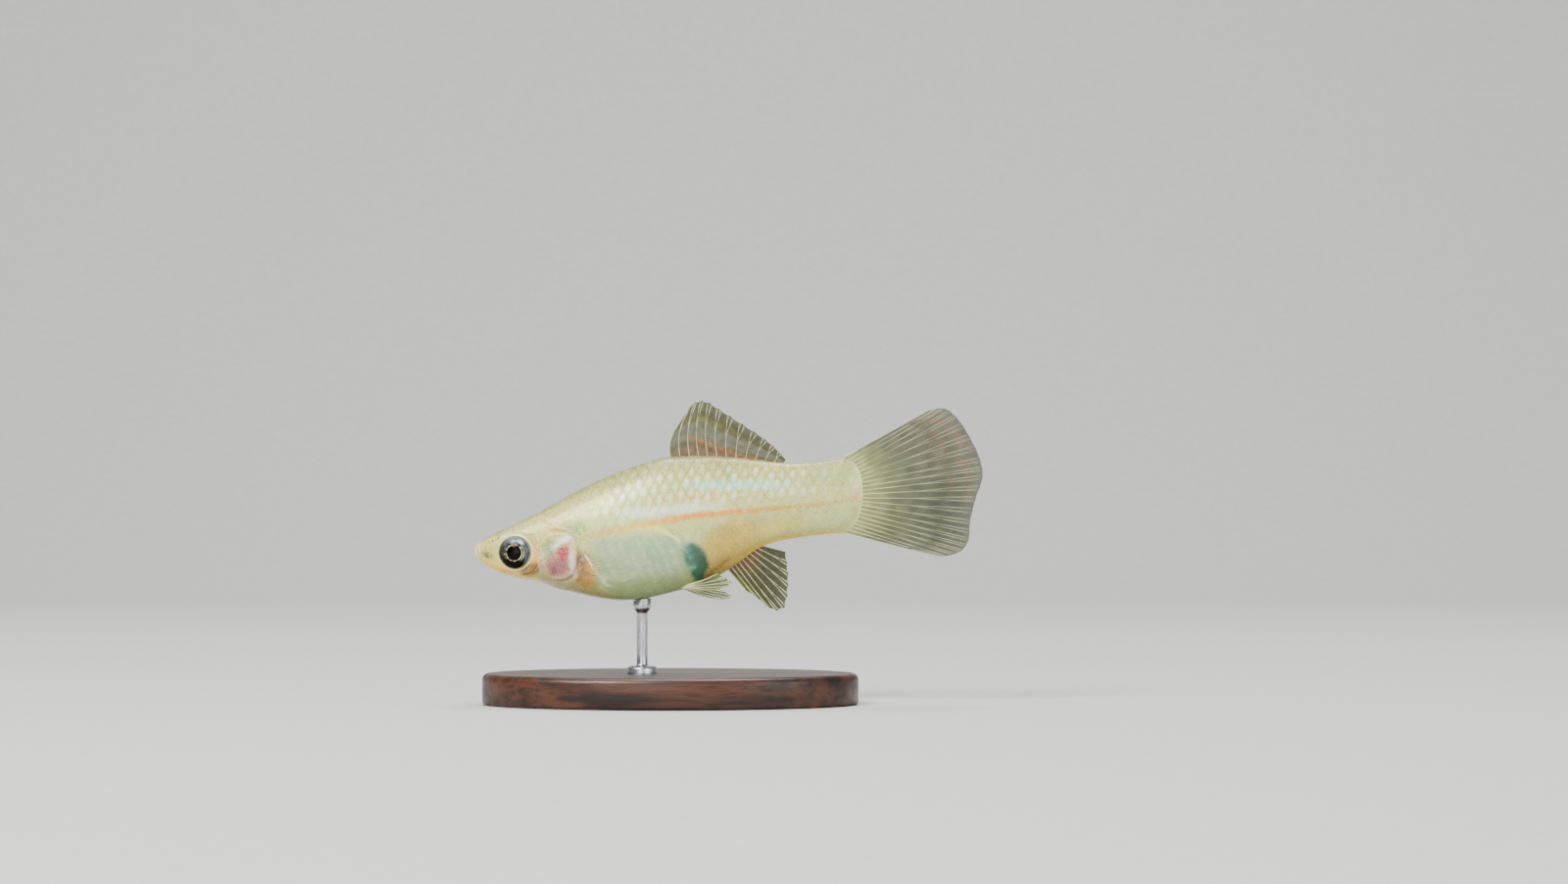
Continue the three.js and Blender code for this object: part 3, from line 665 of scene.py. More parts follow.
def tubes(centres, normals, radii, depths, sides):
    """Oval rings round lines of centres: radii across the sheet whose normals are given, depths through it.
    The result lists, for every path, its first point, its rings and its last point."""
    along = unit(np.gradient(centres, axis=1))
    across = unit(np.cross(normals, along))
    out = np.cross(along, across)
    angle = np.linspace(0, 2 * math.pi, sides, endpoint=False)
    wide = across[:, :, None] * np.cos(angle)[:, None] * radii[:, :, None, None]
    deep = out[:, :, None] * np.sin(angle)[:, None] * depths[:, :, None, None]
    rings = centres[:, :, None] + wide + deep
    return np.concatenate([centres[:, :1], rings.reshape(len(centres), -1, 3), centres[:, -1:]], 1)


# Materials


class Finish:
    """One material's nodes, added and joined from left to right."""

    def __init__(self, name, **sockets):
        """Sockets are set on the shader itself, with spaces in their names as underscores."""
        self.material = bpy.data.materials.new(name)
        self.material.use_nodes = True
        self.tree = self.material.node_tree
        self.shader = self.tree.nodes["Principled BSDF"]
        for socket, value in sockets.items():
            self.shader.inputs[socket.replace("_", " ")].default_value = value
        self.place = self.add("ShaderNodeTexCoord").outputs["Object"]

    def add(self, kind, inputs=None, **options):
        """A new node with its options and what goes into its sockets."""
        made = self.tree.nodes.new(kind)
        for option, value in options.items():
            setattr(made, option, value)
        for socket, value in (inputs or {}).items():
            self.put(made.inputs[socket], value)
        return made

    def put(self, socket, value):
        """A link where the value comes from a node, and a plain value otherwise."""
        if isinstance(value, bpy.types.NodeSocket):
            self.tree.links.new(value, socket)
        else:
            socket.default_value = value

    def give(self, **sockets):
        """What the shader gets, with spaces in the sockets' names as underscores."""
        for socket, value in sockets.items():
            self.put(self.shader.inputs[socket.replace("_", " ")], value)

    def stored(self, name, output="Fac"):
        """The numbers or colours kept with the mesh under this name."""
        return self.add("ShaderNodeAttribute", attribute_name=name).outputs[output]

    def tint(self):
        """The colours kept with the mesh."""
        return self.stored("tint", "Color")

    def spread(self, vector, scale):
        """A place multiplied by a scale along each axis."""
        return self.add("ShaderNodeMapping", {"Vector": vector, "Scale": scale}).outputs[0]

    def noise(self, size, detail=3.0, stretch=(1, 1, 1), roughness=0.5, output="Fac"):
        """Noise whose grain is about size millimetres."""
        vector = self.spread(self.place, tuple(s / (size * MM) for s in stretch))
        inputs = {"Vector": vector, "Scale": 1.0, "Detail": detail, "Roughness": roughness}
        return self.add("ShaderNodeTexNoise", inputs).outputs[output]

    def cells(self, size):
        """Round cells about size millimetres apart: the distance from each one's middle, and its colour."""
        vector = self.spread(self.place, (1 / (size * MM),) * 3)
        return self.add("ShaderNodeTexVoronoi", {"Vector": vector, "Scale": 1.0}).outputs

    def maths(self, operation, first, second=0.0, third=0.0):
        """One calculation with up to three values."""
        made = self.add("ShaderNodeMath", operation=operation)
        for socket, value in zip(made.inputs, (first, second, third)):
            self.put(socket, value)
        return made.outputs[0]

    def times(self, first, second):
        """A product."""
        return self.maths("MULTIPLY", first, second)

    def reach(self, first, second):
        """How far a point is from 0 by its two distances: the root of the sum of their squares."""
        squares = [self.maths("POWER", value, 2.0) for value in (first, second)]
        return self.maths("SQRT", self.maths("ADD", *squares))

    def span(self, value, low, high, to_low=0.0, to_high=1.0):
        """A value from low to high drawn out evenly from to_low to to_high."""
        inputs = {"Value": value, "From Min": low, "From Max": high, "To Min": to_low, "To Max": to_high}
        return self.add("ShaderNodeMapRange", inputs).outputs[0]

    def curve(self, value, points, across, up):
        """A smooth line through the points, as a height for each value; both ranges are a low and a high."""
        made = self.add("ShaderNodeFloatCurve", {"Value": self.span(value, *across)})
        line = made.mapping.curves[0]
        (left, right), (low, high) = across, up
        places = [((x - left) / (right - left), (y - low) / (high - low)) for x, y in points]
        while len(line.points) < len(places):
            line.points.new(0.5, 0.5)
        for point, place in zip(line.points, sorted(places)):
            point.location = place
        made.mapping.use_clip = False
        made.mapping.update()
        return self.maths("MULTIPLY_ADD", made.outputs[0], high - low, low)

    def ramp(self, value, stops):
        """Colours at stops of a value from 0 to 1, and even mixtures between them."""
        made = self.add("ShaderNodeValToRGB", {"Fac": value})
        line = made.color_ramp
        while len(line.elements) < len(stops):
            line.elements.new(0.5)
        for element, (at, colour) in zip(line.elements, stops):
            element.position = at
            element.color = rgba(colour)
        return made.outputs[0]

    def mix(self, share, first, second, blend="MIX"):
        """The second colour over the first by a share."""
        made = self.add("ShaderNodeMix", data_type="RGBA", blend_type=blend)
        for i, value in ((0, share), (6, first), (7, second)):
            self.put(made.inputs[i], rgba(value) if isinstance(value, tuple) else value)
        return made.outputs[2]

    def bump(self, height, depth, before=None):
        """Relief of depth millimetres where the height runs from 0 to 1."""
        inputs = {"Height": height, "Strength": 1.0, "Distance": depth * MM}
        if before is not None:
            inputs["Normal"] = before
        return self.add("ShaderNodeBump", inputs).outputs[0]

    def dress(self, piece):
        """Puts the material on a piece."""
        piece.data.materials.clear()
        piece.data.materials.append(self.material)


def rgba(colour):
    """A colour of screen values as a socket takes it."""
    return (*linear(np.array(colour) / 255), 1)


def moist(finish, weight=0.14, reach=0.0006):
    """Light passes a little way into flesh, red the furthest."""
    finish.give(Subsurface_Weight=weight, Subsurface_Radius=(1.0, 0.55, 0.35), Subsurface_Scale=reach)


def painted_lines(finish, colour, look):
    """The fine markings, drawn in the material so that they run on from scale to scale: each is a band about
    a height that follows the fish's length, broken up by fine grains."""
    parts = finish.add("ShaderNodeSeparateXYZ", {0: finish.place})
    x = finish.maths("MULTIPLY_ADD", parts.outputs["X"], 1 / MM, -SNOUT[0])
    z = finish.maths("MULTIPLY_ADD", parts.outputs["Z"], 1 / MM, -SNOUT[2])
    grains = finish.noise(0.2, 3, roughness=0.7)
    wander = finish.maths("MULTIPLY_ADD", finish.noise(0.7, 3, roughness=0.6), 0.7, -0.35)

    def band(line, half, soft, strength, grain):
        """Full within a half width of the line and gone a soft edge further out."""
        height = finish.curve(x, line, ALONG, HEIGHTS)
        away = finish.maths("ABSOLUTE", finish.maths("SUBTRACT", finish.maths("ADD", z, wander), height))
        width = finish.curve(x, half, ALONG, SHARES)
        share = finish.span(finish.maths("SUBTRACT", away, width), -soft, soft, 1.0, 0.0)
        share = finish.times(share, finish.curve(x, strength, ALONG, SHARES))
        return finish.times(share, finish.span(grains, 0.3, 0.62, 1 - grain, 1.0))

    stripe = tone(*screen(look.stripe))
    stripe_tone = finish.ramp(finish.maths("DIVIDE", x, float(ALONG[1])), [
        (0.26, tone(190, 152, 100)), (0.37, tone(232, 198, 96)), (0.45, tone(240, 194, 64)), (0.52, stripe),
        (0.62, stripe), (0.74, tone(208, 178, 84)), (0.94, tone(208, 180, 112)),
    ])
    # Each row has the colour, the line, the soft edge, how broken up it is, and along the fish the half width
    # and the strength
    for paint_tone, line, soft, grain, half, strength in (
        (tone(226, 186, 92), UPPER_STRIPE, 0.22, 0.5, [(18, 0.1), (26, 0.2), (38, 0.12)],
         [(18.5, 0), (21, 0.5), (27, 0.85), (33, 0.7), (38.5, 0)]),
        (tone(246, 212, 128), LOWER_GOLD, 0.25, 0.2, [(34, 0.14), (40, 0.28), (49, 0.14)],
         [(33.5, 0), (36, 0.9), (46, 0.9), (49.5, 0)]),
        (tone(250, 238, 176), GOLD_ARC, 0.2, 0.1, [(20, 0.12), (24, 0.3), (26.6, 0.14)],
         [(19.8, 0), (21.2, 0.9), (25.6, 1), (26.8, 0)]),
        (stripe_tone, STRIPE, 0.16, 0.26, [(13, 0.36), (20, 0.4), (30, 0.4), (38, 0.3), (49, 0.18)],
         [(13, 0), (14.6, 0.45), (19, 0.9), (24, 1), (33, 1), (42, 0.85), (48.6, 0.5), (49.8, 0.0)]),
    ):
        colour = finish.mix(band(line, half, soft, strength, grain), colour, paint_tone)
    return colour


def grained(finish, colour):
    """Bright grains of white, green and blue, and small brown dots, each in its own cell: a cell has one
    where its random share is under the share that the markings give."""

    def specks(size, name, low, high, strength):
        """The speck in each cell that has one, fading out from its middle, and the cell's random numbers."""
        cell = finish.cells(size)
        own = finish.add("ShaderNodeSeparateColor", {"Color": cell["Color"]}).outputs
        there = finish.maths("LESS_THAN", own["Red"], finish.stored(name))
        return finish.times(there, finish.span(cell["Distance"], low, high, strength, 0.0)), own

    lit, own = specks(0.13, "grains", 0.2, 0.65, 0.62)
    grain = finish.mix(own["Green"], tone(255, 255, 240), tone(226, 236, 160))
    grain = finish.mix(finish.span(own["Blue"], 0.66, 0.7), grain, tone(196, 222, 255))
    colour = finish.mix(lit, colour, grain)
    return finish.mix(specks(0.19, "dots", 0.15, 0.55, 0.7)[0], colour, tone(104, 72, 48))


def skin_finish(look):
    """Painted and grained skin, a little clouded, with fine pores under a wet coat."""
    finish = Finish("Moist skin", Coat_Weight=look.wetness, Coat_Roughness=0.12, Coat_IOR=1.36, IOR=1.36)
    moist(finish)
    colour = painted_lines(finish, finish.tint(), look)
    clouds = finish.span(finish.noise(0.22, 4), 0.35, 0.7, 0.0, 0.3)
    colour = grained(finish, finish.mix(clouds, colour, (140, 128, 88), "MULTIPLY"))
    pores = finish.bump(finish.cells(0.16)["Distance"], 0.008)
    finish.give(
        Base_Color=colour,
        Metallic=finish.times(finish.stored("shine"), 0.14),
        Roughness=finish.span(finish.noise(0.5, 3), 0.3, 0.7, 0.3, 0.46),
        Normal=finish.bump(finish.noise(0.45, 4), 0.02, pores),
    )
    return finish


def scale_finish(look):
    """Each scale has fine growth rings, a pearly spot, partly its own silver and partly a painted reflection,
    and a slightly darker rim.
    """
    finish = Finish("Scales", Coat_Weight=look.wetness, Coat_Roughness=0.1, Coat_IOR=1.4, IOR=1.36)
    moist(finish, 0.1)
    length, side = finish.stored("lengthwise"), finish.stored("sideways")
    out = finish.reach(length, side)
    rim = finish.times(finish.span(out, 0.7, 1.0), finish.stored("edge"))
    fine = finish.noise(0.16, 3)
    colour = painted_lines(finish, finish.tint(), look)
    colour = finish.mix(finish.span(fine, 0.35, 0.7, 0.0, 0.26), colour, (150, 138, 96), "MULTIPLY")
    across = finish.maths("DIVIDE", finish.maths("SUBTRACT", length, 0.42), 0.4)
    away = finish.reach(across, finish.maths("DIVIDE", side, 0.5))
    away = finish.maths("ADD", away, finish.maths("MULTIPLY_ADD", fine, 1.5, -0.72))
    # The pearly spot: partly the scale's own silver, partly a painted reflection
    silver_and_painted_glint = finish.times(finish.span(away, 0.25, 1.15, 0.85, 0.0), finish.stored("glint"))
    colour = finish.mix(silver_and_painted_glint, colour, tone(240, 246, 242))
    colour = finish.mix(finish.times(rim, look.rim_strength), colour, (120, 112, 66), "MULTIPLY")
    rings = finish.maths("SINE", finish.times(out, 2 * math.pi / 0.1))
    grooves = finish.bump(finish.span(rings, -1.0, 1.0), 0.002)
    finish.give(
        Base_Color=grained(finish, colour),
        Metallic=finish.maths("MULTIPLY_ADD", silver_and_painted_glint, 0.15, finish.times(finish.stored("shine"), 0.15)),
        Roughness=finish.span(finish.noise(0.6, 2), 0.3, 0.7, 0.24, 0.42),
        Normal=finish.bump(fine, 0.008, grooves),
    )
    return finish


def membrane_finish():
    """Thin skin that lets through what the mesh's cover leaves, uneven and with dark freckles."""
    finish = Finish("Fin membrane", Coat_Weight=0.2, Coat_Roughness=0.12, Coat_IOR=1.36, IOR=1.34)
    fine = finish.noise(0.12, 4)
    colour = finish.mix(finish.span(fine, 0.4, 0.75, 0.0, 0.5), finish.tint(), (60, 58, 38), "MULTIPLY")
    dots = finish.span(finish.cells(0.2)["Distance"], 0.1, 0.22, 1.0, 0.0)
    freckles = finish.stored("freckles")
    cover = finish.maths("ADD", finish.stored("cover"), finish.times(dots, finish.times(freckles, 0.3)))
    cover = finish.times(cover, finish.span(fine, 0.3, 0.7, 0.86, 1.12))
    finish.give(
        Base_Color=finish.mix(finish.times(dots, freckles), colour, (44, 42, 28)),
        Roughness=finish.span(fine, 0.3, 0.7, 0.3, 0.48),
        Alpha=finish.maths("MINIMUM", cover, 0.98),
        Normal=finish.bump(fine, 0.01),
    )
    return finish


def ray_finish():
    """Each ray is a row of short bony joints: pale, with a darker, lower ring between them."""
    finish = Finish("Fin rays", Coat_Weight=0.3, Coat_Roughness=0.12, IOR=1.4)
    moist(finish, 0.1, 0.0003)
    joint = finish.maths("PINGPONG", finish.stored("along"), 0.5)
    gap = finish.times(finish.span(joint, 0.06, 0.26, 1.0, 0.0), finish.stored("jointed"))
    finish.give(
        Base_Color=finish.mix(finish.times(gap, 0.8), finish.tint(), (96, 94, 72)),
        Roughness=finish.span(finish.noise(0.1, 2), 0.3, 0.7, 0.26, 0.42),
        Alpha=finish.stored("cover"),
        Normal=finish.bump(finish.maths("SUBTRACT", 1.0, gap), 0.02),
    )
    return finish


def eye_finish():
    """A wet, glossy eye, a little silvery in its iris."""
    finish = Finish("Eye", Coat_Weight=0.2, Coat_Roughness=0.02, Coat_IOR=1.36, IOR=1.12)
    fine = finish.noise(0.07, 4)
    clouds = finish.span(fine, 0.35, 0.7, 0.0, 0.35)
    finish.give(
        Base_Color=finish.mix(clouds, finish.tint(), (120, 120, 110), "MULTIPLY"),
        Metallic=finish.times(finish.stored("shine"), 0.25),
        Roughness=finish.span(fine, 0.3, 0.7, 0.2, 0.34),
    )
    return finish


def wood_finish(colour):
    """Long pores and growth rings run along the base, under a satin varnish."""
    finish = Finish("Dark varnished wood", Coat_Weight=0.22, Coat_Roughness=0.3, Coat_IOR=1.36, IOR=1.38)
    drift = {0: finish.noise(14, 2, (0.25, 1, 1), output="Color"), "Scale": 0.0035}
    drift = finish.add("ShaderNodeVectorMath", drift, operation="SCALE").outputs[0]
    warped = finish.add("ShaderNodeVectorMath", {0: finish.place, 1: drift}, operation="ADD").outputs[0]
    grown = {"Vector": finish.spread(warped, (30, 620, 620)), "Scale": 1.0, "Detail": 2.0}
    rings = finish.add("ShaderNodeTexNoise", grown).outputs["Fac"]
    pores = finish.noise(0.5, 3, (0.06, 1, 1))
    ringed = finish.mix(finish.span(rings, 0.36, 0.62), colour, tuple(value * 0.42 for value in colour))
    pitted = finish.span(pores, 0.52, 0.66, 0.0, 0.55)
    finish.give(
        Base_Color=finish.mix(pitted, ringed, tuple(value * 0.22 for value in colour)),
        Roughness=finish.span(rings, 0.3, 0.7, 0.32, 0.46),
        Normal=finish.bump(finish.span(pores, 0.5, 0.7, 1.0, 0.0), 0.02),
    )
    return finish


def steel_finish():
    """Fine brush marks that run up the rod."""
    finish = Finish("Brushed steel", Metallic=1.0, Anisotropic=0.5)
    brush = finish.noise(0.06, 3, (1, 1, 0.04))
    finish.give(
        Base_Color=finish.mix(finish.span(brush, 0.3, 0.7), (150, 152, 156), (206, 208, 210)),
        Roughness=finish.span(brush, 0.3, 0.7, 0.2, 0.36),
        Normal=finish.bump(brush, 0.004),
    )
    return finish


# Fins: a sheet from a line of roots to a line of tips


def roots_along(line, first, last, sink):
    """Six points along the back or the belly, sunk into the flesh."""
    x = np.linspace(first, last, 6)
    return np.stack([x, 0 * x, line(x) - sink], -1)


def arc_roots(radius):
    """Seven points on an arc round the middle of the stalk's end."""
    turn = np.radians([47, 32, 16, 0, -16, -32, -47])
    x, z = STALK_END["x"] + radius * np.cos(turn), STALK_END["z"] + radius * np.sin(turn)
    return np.stack([x, 0 * x, z], -1)


def side_roots(side):
    """A pectoral fin's roots, a little inside the flank."""
    x, z = np.array([[14.35, -0.4], [14.7, -1.2], [15.1, -2], [15.4, -2.7]]).T
    return np.stack([x - 0.3, side * (flank_at(x, z) - 0.5), z], -1)


def belly_roots(side):
    """A pelvic fin's roots, a little inside the belly."""
    x, y = np.array([[26.1, 0.9], [26.7, 1.15], [27.4, 1.5]]).T
    return np.stack([x, side * y, belly(x) + 0.55], -1)


def flat_tips(*pairs):
    """Tips in the fish's middle plane."""
    return [(x, 0, z) for x, z in pairs]


def side_tips(side, *places):
    """Tips out to one side."""
    return [(x, side * y, z) for x, y, z in places]


def fin_shapes():
    """Every fin's roots, tips, rays and bend, on the same lines as the solids. A ray forks at a share of its
    length, the sheet is notched between the rays by a share of it, and starts at a share of it. The bow is
    what the bend adds to x, y and z at u across the fin and v along it."""
    shapes = {
        "dorsal_fin": {
            "roots": roots_along(back, 25.1, 39.3, 0.5),
            "tips": flat_tips((26.4, 16.6), (28, 18.9), (29.4, 19.15), (31.4, 18), (34, 16.3), (36.6, 14.6),
                              (38.4, 13.1), (39.7, 11.6)),
            "rays": 13, "fork": 0.48, "notch": 0.03, "start": 0.0,
            "bow": lambda u, v: (-0.7 * np.sin(math.pi * v) * (1 - u), 0.55 * v * v * (0.4 + u), 0),
        },
        "anal_fin": {
            "roots": roots_along(belly, 32.2, 36.3, -0.5),
            "tips": flat_tips((34.6, -5), (36.2, -6.1), (38.2, -7.6), (39.5, -7.4), (40, -5.6), (40.1, -3.8),
                              (40, -2), (39.7, -0.1)),
            "rays": 10, "fork": 0.5, "notch": 0.04, "start": 0.0,
            "bow": lambda u, v: (0, -0.6 * v * v * (1 - 0.5 * u), 0),
        },
        "tail_fin": {
            "roots": arc_roots(STALK_END["radius"] + 0.3),
            "tips": flat_tips((58, 17.9), (59.9, 18.2), (61.4, 17.2), (63.2, 14.6), (64.6, 11.6), (64.9, 9.4),
                              (64, 6.6), (63.3, 3.6), (63.1, 1.4), (62.2, 0), (60, -0.7), (57.5, -0.3)),
            "rays": 23, "fork": 0.34, "notch": 0.005, "start": -0.13,
            "bow": lambda u, v: (0, 1.1 * v * v * np.sin(2.4 * u + 0.4) - 0.12 * v, 0),
        },
    }
    lobes = {
        -1: [(30.4, 1.5, -4.9), (31.7, 2.3, -4.7), (32.8, 2.9, -4.15), (32.5, 3.3, -3.4), (31.1, 3.5, -2.8)],
        1: [(30.0, 1.5, -6.05), (31.8, 2.1, -6.3), (32.75, 2.7, -6.0), (32.2, 3.1, -5.4), (31.0, 3.4, -4.8)],
    }
    for name, side in (("left", -1), ("right", 1)):
        shapes["pectoral_fin_" + name] = {
            "roots": side_roots(side),
            "tips": side_tips(side, (15.9, 7.2, 2.9), (17.8, 8.5, 3.4), (20, 9.2, 2.7), (21.7, 9.4, 1.1),
                              (22.2, 9.3, -0.8), (21.5, 8.7, -2.5), (20, 8, -3.7), (18.6, 7.3, -4.1)),
            "rays": 12, "fork": 0.5, "notch": 0.01, "start": 0.0,
            "bow": lambda u, v, side=side: (0, 0.8 * side * np.sin(math.pi * v), 0.2 * v),
        }
        shapes["pelvic_fin_" + name] = {
            "roots": belly_roots(side),
            "tips": side_tips(side, *lobes[side]),
            "rays": 6, "fork": 0.45, "notch": 0.06, "start": 0.0,
            "bow": lambda u, v, side=side: (
                0, 0.25 * side * np.sin(math.pi * v), -0.15 * np.sin(math.pi * v)),
        }
    return shapes


def fin_point(fin, u, v):
    """The straight line from the root at u to the tip at u, at share v, plus the fin's bend."""
    u, v = np.broadcast_arrays(np.asarray(u, float), np.asarray(v, float))
    inside = np.clip(u, 0, 1)
    root, tip = round_curve(fin["roots"], inside), round_curve(fin["tips"], inside)
    bend = np.stack(np.broadcast_arrays(*fin["bow"](inside, v), u)[:3], -1)
    return root + (tip - root) * v[..., None] + bend


def fin_normal(fin, u, v):
    """The cross product of the steps across the fin and along it."""
    step = 0.01
    across = fin_point(fin, np.minimum(u + step, 1), v) - fin_point(fin, np.maximum(u - step, 0), v)
    along = fin_point(fin, u, v + step) - fin_point(fin, u, v - step)
    return unit(np.cross(across, along))


def between_rays(u, rays):
    """0 on a ray and 1 half way to the next."""
    place = u * (rays - 1)
    return 1 - np.abs(2 * (place - np.floor(place)) - 1)


# The length of a ray's bony joints
JOINT = 0.34

# The sheet's colour under its markings, the rays' colours near the root and further out, and how thick the
# rays are against the setting
FIN_LOOKS = {
    "dorsal": {"sheet": (112, 110, 82), "near": (212, 186, 164), "far": (202, 204, 186), "rays": 0.85},
    "anal": {"sheet": (92, 94, 54), "near": (206, 196, 158), "far": (212, 214, 184), "rays": 0.85},
    "tail": {"sheet": (122, 124, 102), "near": (226, 226, 198), "far": (192, 194, 176), "rays": 0.66},
    "pectoral": {"sheet": (206, 208, 176), "near": (232, 222, 190), "far": (214, 216, 196), "rays": 0.62},
    "pelvic": {"sheet": (176, 184, 140), "near": (224, 228, 198), "far": (222, 226, 200), "rays": 1.0},
}


def fin_colours(kind, rays, u, v):
    """The membrane's colour, how much it hides of what lies behind it, and how freckled it is, at u across
    the fin and v along it."""
    gap = between_rays(u, rays)
    u, v = np.broadcast_arrays(u, v)
    coat = Coat(u, v, np.array(FIN_LOOKS[kind]["sheet"]) / 255)
    if kind == "dorsal":
        webs = fade(gap, 0.2, 0.8)
        coat.lay(
            ((150, 122, 104), 0.8 * fall(v, 0.12, 0.34)),
            ((134, 138, 128), 0.7 * between(v, 0.24, 0.36, 0.56, 0.72)),
            ((188, 132, 54), 0.95 * webs * ridge(v - 0.43 + 0.38 * u, 0.05) * fade(u, 0.1, 0.2)),
            ((150, 90, 62), 0.7 * webs * ridge(v - 0.3 + 0.3 * u, 0.05) * fade(u, 0.1, 0.3)),
            ((138, 132, 40), 0.9 * gap * ridge(v - 0.72 + 0.06 * u, 0.05) * between(u, 0.04, 0.1, 0.5, 0.62)),
            ((122, 62, 48), 0.8 * gap * ridge(v - 0.12, 0.06) * fade(u, 0.6, 0.8)),
        )
        cover = 0.84 - 0.12 * fade(v, 0.7, 1) + 0.1 * fall(v, 0.1, 0.3)
        freckles = 0.35 + 0.4 * ridge(v - 0.6, 0.3)
    elif kind == "anal":
        coat.lay(
            ((116, 130, 58), 0.8 * coat.spot(0.06, 0.7, 0.14, 0.4)),
            ((136, 100, 56), 0.8 * fall(v, 0.1, 0.4)),
        )
        cover, freckles = 0.9 - 0.12 * fade(v, 0.6, 1), 0.5
    elif kind == "tail":
        blots = fade(ripple(u * 26, v * 9, 1.5, 62), 0.2, 0.8) * ridge(v - 0.84 + 0.1 * u, 0.11)
        green = coat.spot(0.72, 0.7, 0.016, 0.03, power=2) + coat.spot(0.6, 0.26, 0.03, 0.03, power=2)
        coat.lay(
            ((140, 146, 118), 0.75 * fall(v, 0.1, 0.5) * (1 - 0.6 * fade(u, 0.4, 0.6))),
            ((92, 98, 84), 0.8 * coat.spot(0.64, 0.72, 0.24, 0.26) * (0.4 + 0.6 * gap)),
            ((128, 118, 108), 0.5 * fade(v, 0.5, 0.9) * fall(u, 0.3, 0.5)),
            ((126, 132, 92), 0.6 * coat.spot(0.84, 0.3, 0.16, 0.3)),
            ((184, 112, 92), 0.6 * blots * fall(u, 0.44, 0.56)),
            ((160, 166, 84), 0.8 * gap * green),
            ((164, 168, 128), 0.9 * fall(v, -0.02, 0.2 + 0.05 * np.sin(math.pi * u))),
        )
        cover = 0.95 - 0.17 * fade(v, 0.12, 0.4) - 0.1 * fade(v, 0.6, 1)
        freckles = 0.4 + 0.3 * ridge(v - 0.3, 0.25)
    elif kind == "pectoral":
        cover, freckles = 0.07 + 0.3 * fall(v, 0.0, 0.2), 0.05
    else:
        coat.lay(((112, 120, 92), 0.7 * gap * fade(v, 0.15, 0.6)))
        cover, freckles = 0.82 - 0.14 * fade(v, 0.5, 1), 0.25
    mottle = ripple(u * 30, v * 14, 2.4, 61)[..., None]
    return paint(coat.colour * (1 + 0.06 * mottle)), np.clip(cover + 0 * u, 0, 1), freckles + 0 * u


def tail_root_half(u, v):
    """The tail fin's flesh is thicker in the middle of its root and thins out behind."""
    return (0.12 + 0.3 * np.sin(math.pi * np.clip(u, 0, 1))) * np.exp(-11 * np.maximum(v, 0))


def sheet_half(name, u, v, thickness):
    """Half the membrane's thickness, which thins out towards the tips."""
    half = thickness / 2 * (1 - 0.45 * np.clip(v, 0, 1)) + 0 * u
    return half + tail_root_half(u, v) if name == "tail_fin" else half


def sheet_edge(rows, columns):
    """The points round the outside of a grid, in order, each once."""
    last = (rows - 1) * columns
    return np.concatenate([
        np.arange(columns - 1), np.arange(1, rows) * columns - 1,
        last + np.arange(columns - 1, 0, -1), np.arange(rows - 1, 0, -1) * columns,
    ])


def fin_sheet(name, fin, thickness):
    """The membrane: both faces of the fin's sheet and the edge that joins them, cut back between the rays."""
    columns, rows = (fin["rays"] - 1) * 8 + 1, 57
    u = np.linspace(0, 1, columns)[:, None]
    gap = between_rays(u, fin["rays"])
    v = fin["start"] + np.linspace(0, 1, rows) * (1 - fin["notch"] * gap**0.7 - fin["start"])
    middle, normal = fin_point(fin, u, v), fin_normal(fin, u, v)
    half = sheet_half(name, u, v, thickness)[..., None]
    sag = (0.022 * gap * fade(v, 0.05, 0.4))[..., None]
    faces = [middle + normal * (half + sag), middle - normal * (half - sag)]
    quads = grid_faces(columns, rows)
    count = columns * rows
    edge = sheet_edge(columns, rows)
    rim = np.stack([edge, np.roll(edge, -1), np.roll(edge, -1) + count, edge + count], -1)
    points = np.concatenate([face.reshape(-1, 3) for face in faces])
    return points, [quads, quads[:, ::-1] + count, rim[:, ::-1]], u, v


def ray_paths(fin):
    """Where every ray and branch runs: a ray splits in two at the fork, and each half again further out.
    The result is a list of groups, each with u and v along its paths."""
    middle = np.linspace(0, 1, fin["rays"])[:, None]
    inner = (middle[:, 0] > 0) & (middle[:, 0] < 1)
    pitch = 1 / (fin["rays"] - 1)
    fork, second = fin["fork"], 0.5 * (1 + fin["fork"])
    groups = []
    for half, quarter, start, steps in (
        (-1, -1, fin["start"], 44), (-1, 1, second - 0.02, 22),
        (1, -1, fork - 0.02, 44), (1, 1, second - 0.02, 22),
    ):
        v = np.linspace(start, 1.0, steps)
        spread = half * 0.17 * fade(v, fork, fork + 0.45) + quarter * 0.085 * fade(v, second, 1.1)
        u = np.clip(middle + spread * pitch, 0, 1)
        v = np.broadcast_to(v, u.shape)
        groups.append((u[inner], v[inner]))
        if half == quarter == -1:
            groups.append(((middle + 0 * v)[~inner], v[~inner]))
    return groups


def fin_rays(name, fin, radius, membrane):
    """Tubes along every ray's paths, thinner towards the tips and deep enough to stand proud of the sheet,
    with each point's distance along its ray and its share of the fin along and across it."""
    sides = 6
    points, faces, kept = [], [], []
    start = 0
    for u, v in ray_paths(fin):
        centres, normals = fin_point(fin, u, v), fin_normal(fin, u, v)
        taper = radius * (1 - 0.45 * fade(v, 0.0, 0.9)) * (0.35 + 0.65 * fall(v, 0.95, 1.0))
        through = (sheet_half(name, u, v, membrane) + 0.75 * taper) / math.cos(math.pi / sides)
        made = tubes(centres, normals, taper, through, sides)
        steps = np.linalg.norm(np.diff(centres, axis=1), axis=-1)
        length = np.cumsum(np.concatenate([np.zeros((len(u), 1)), steps], 1), axis=1)
        kept.append([
            np.concatenate([values[:, :1], np.repeat(values, sides, axis=1), values[:, -1:]], 1).ravel()
            for values in (length, v, u)
        ])
        faces += [part + start for part in repeated(capped_faces(u.shape[1], sides), len(u), made.shape[1])]
        points.append(made.reshape(-1, 3))
        start += len(points[-1])
    return np.concatenate(points), faces, *np.concatenate(kept, 1)


# What a user may change

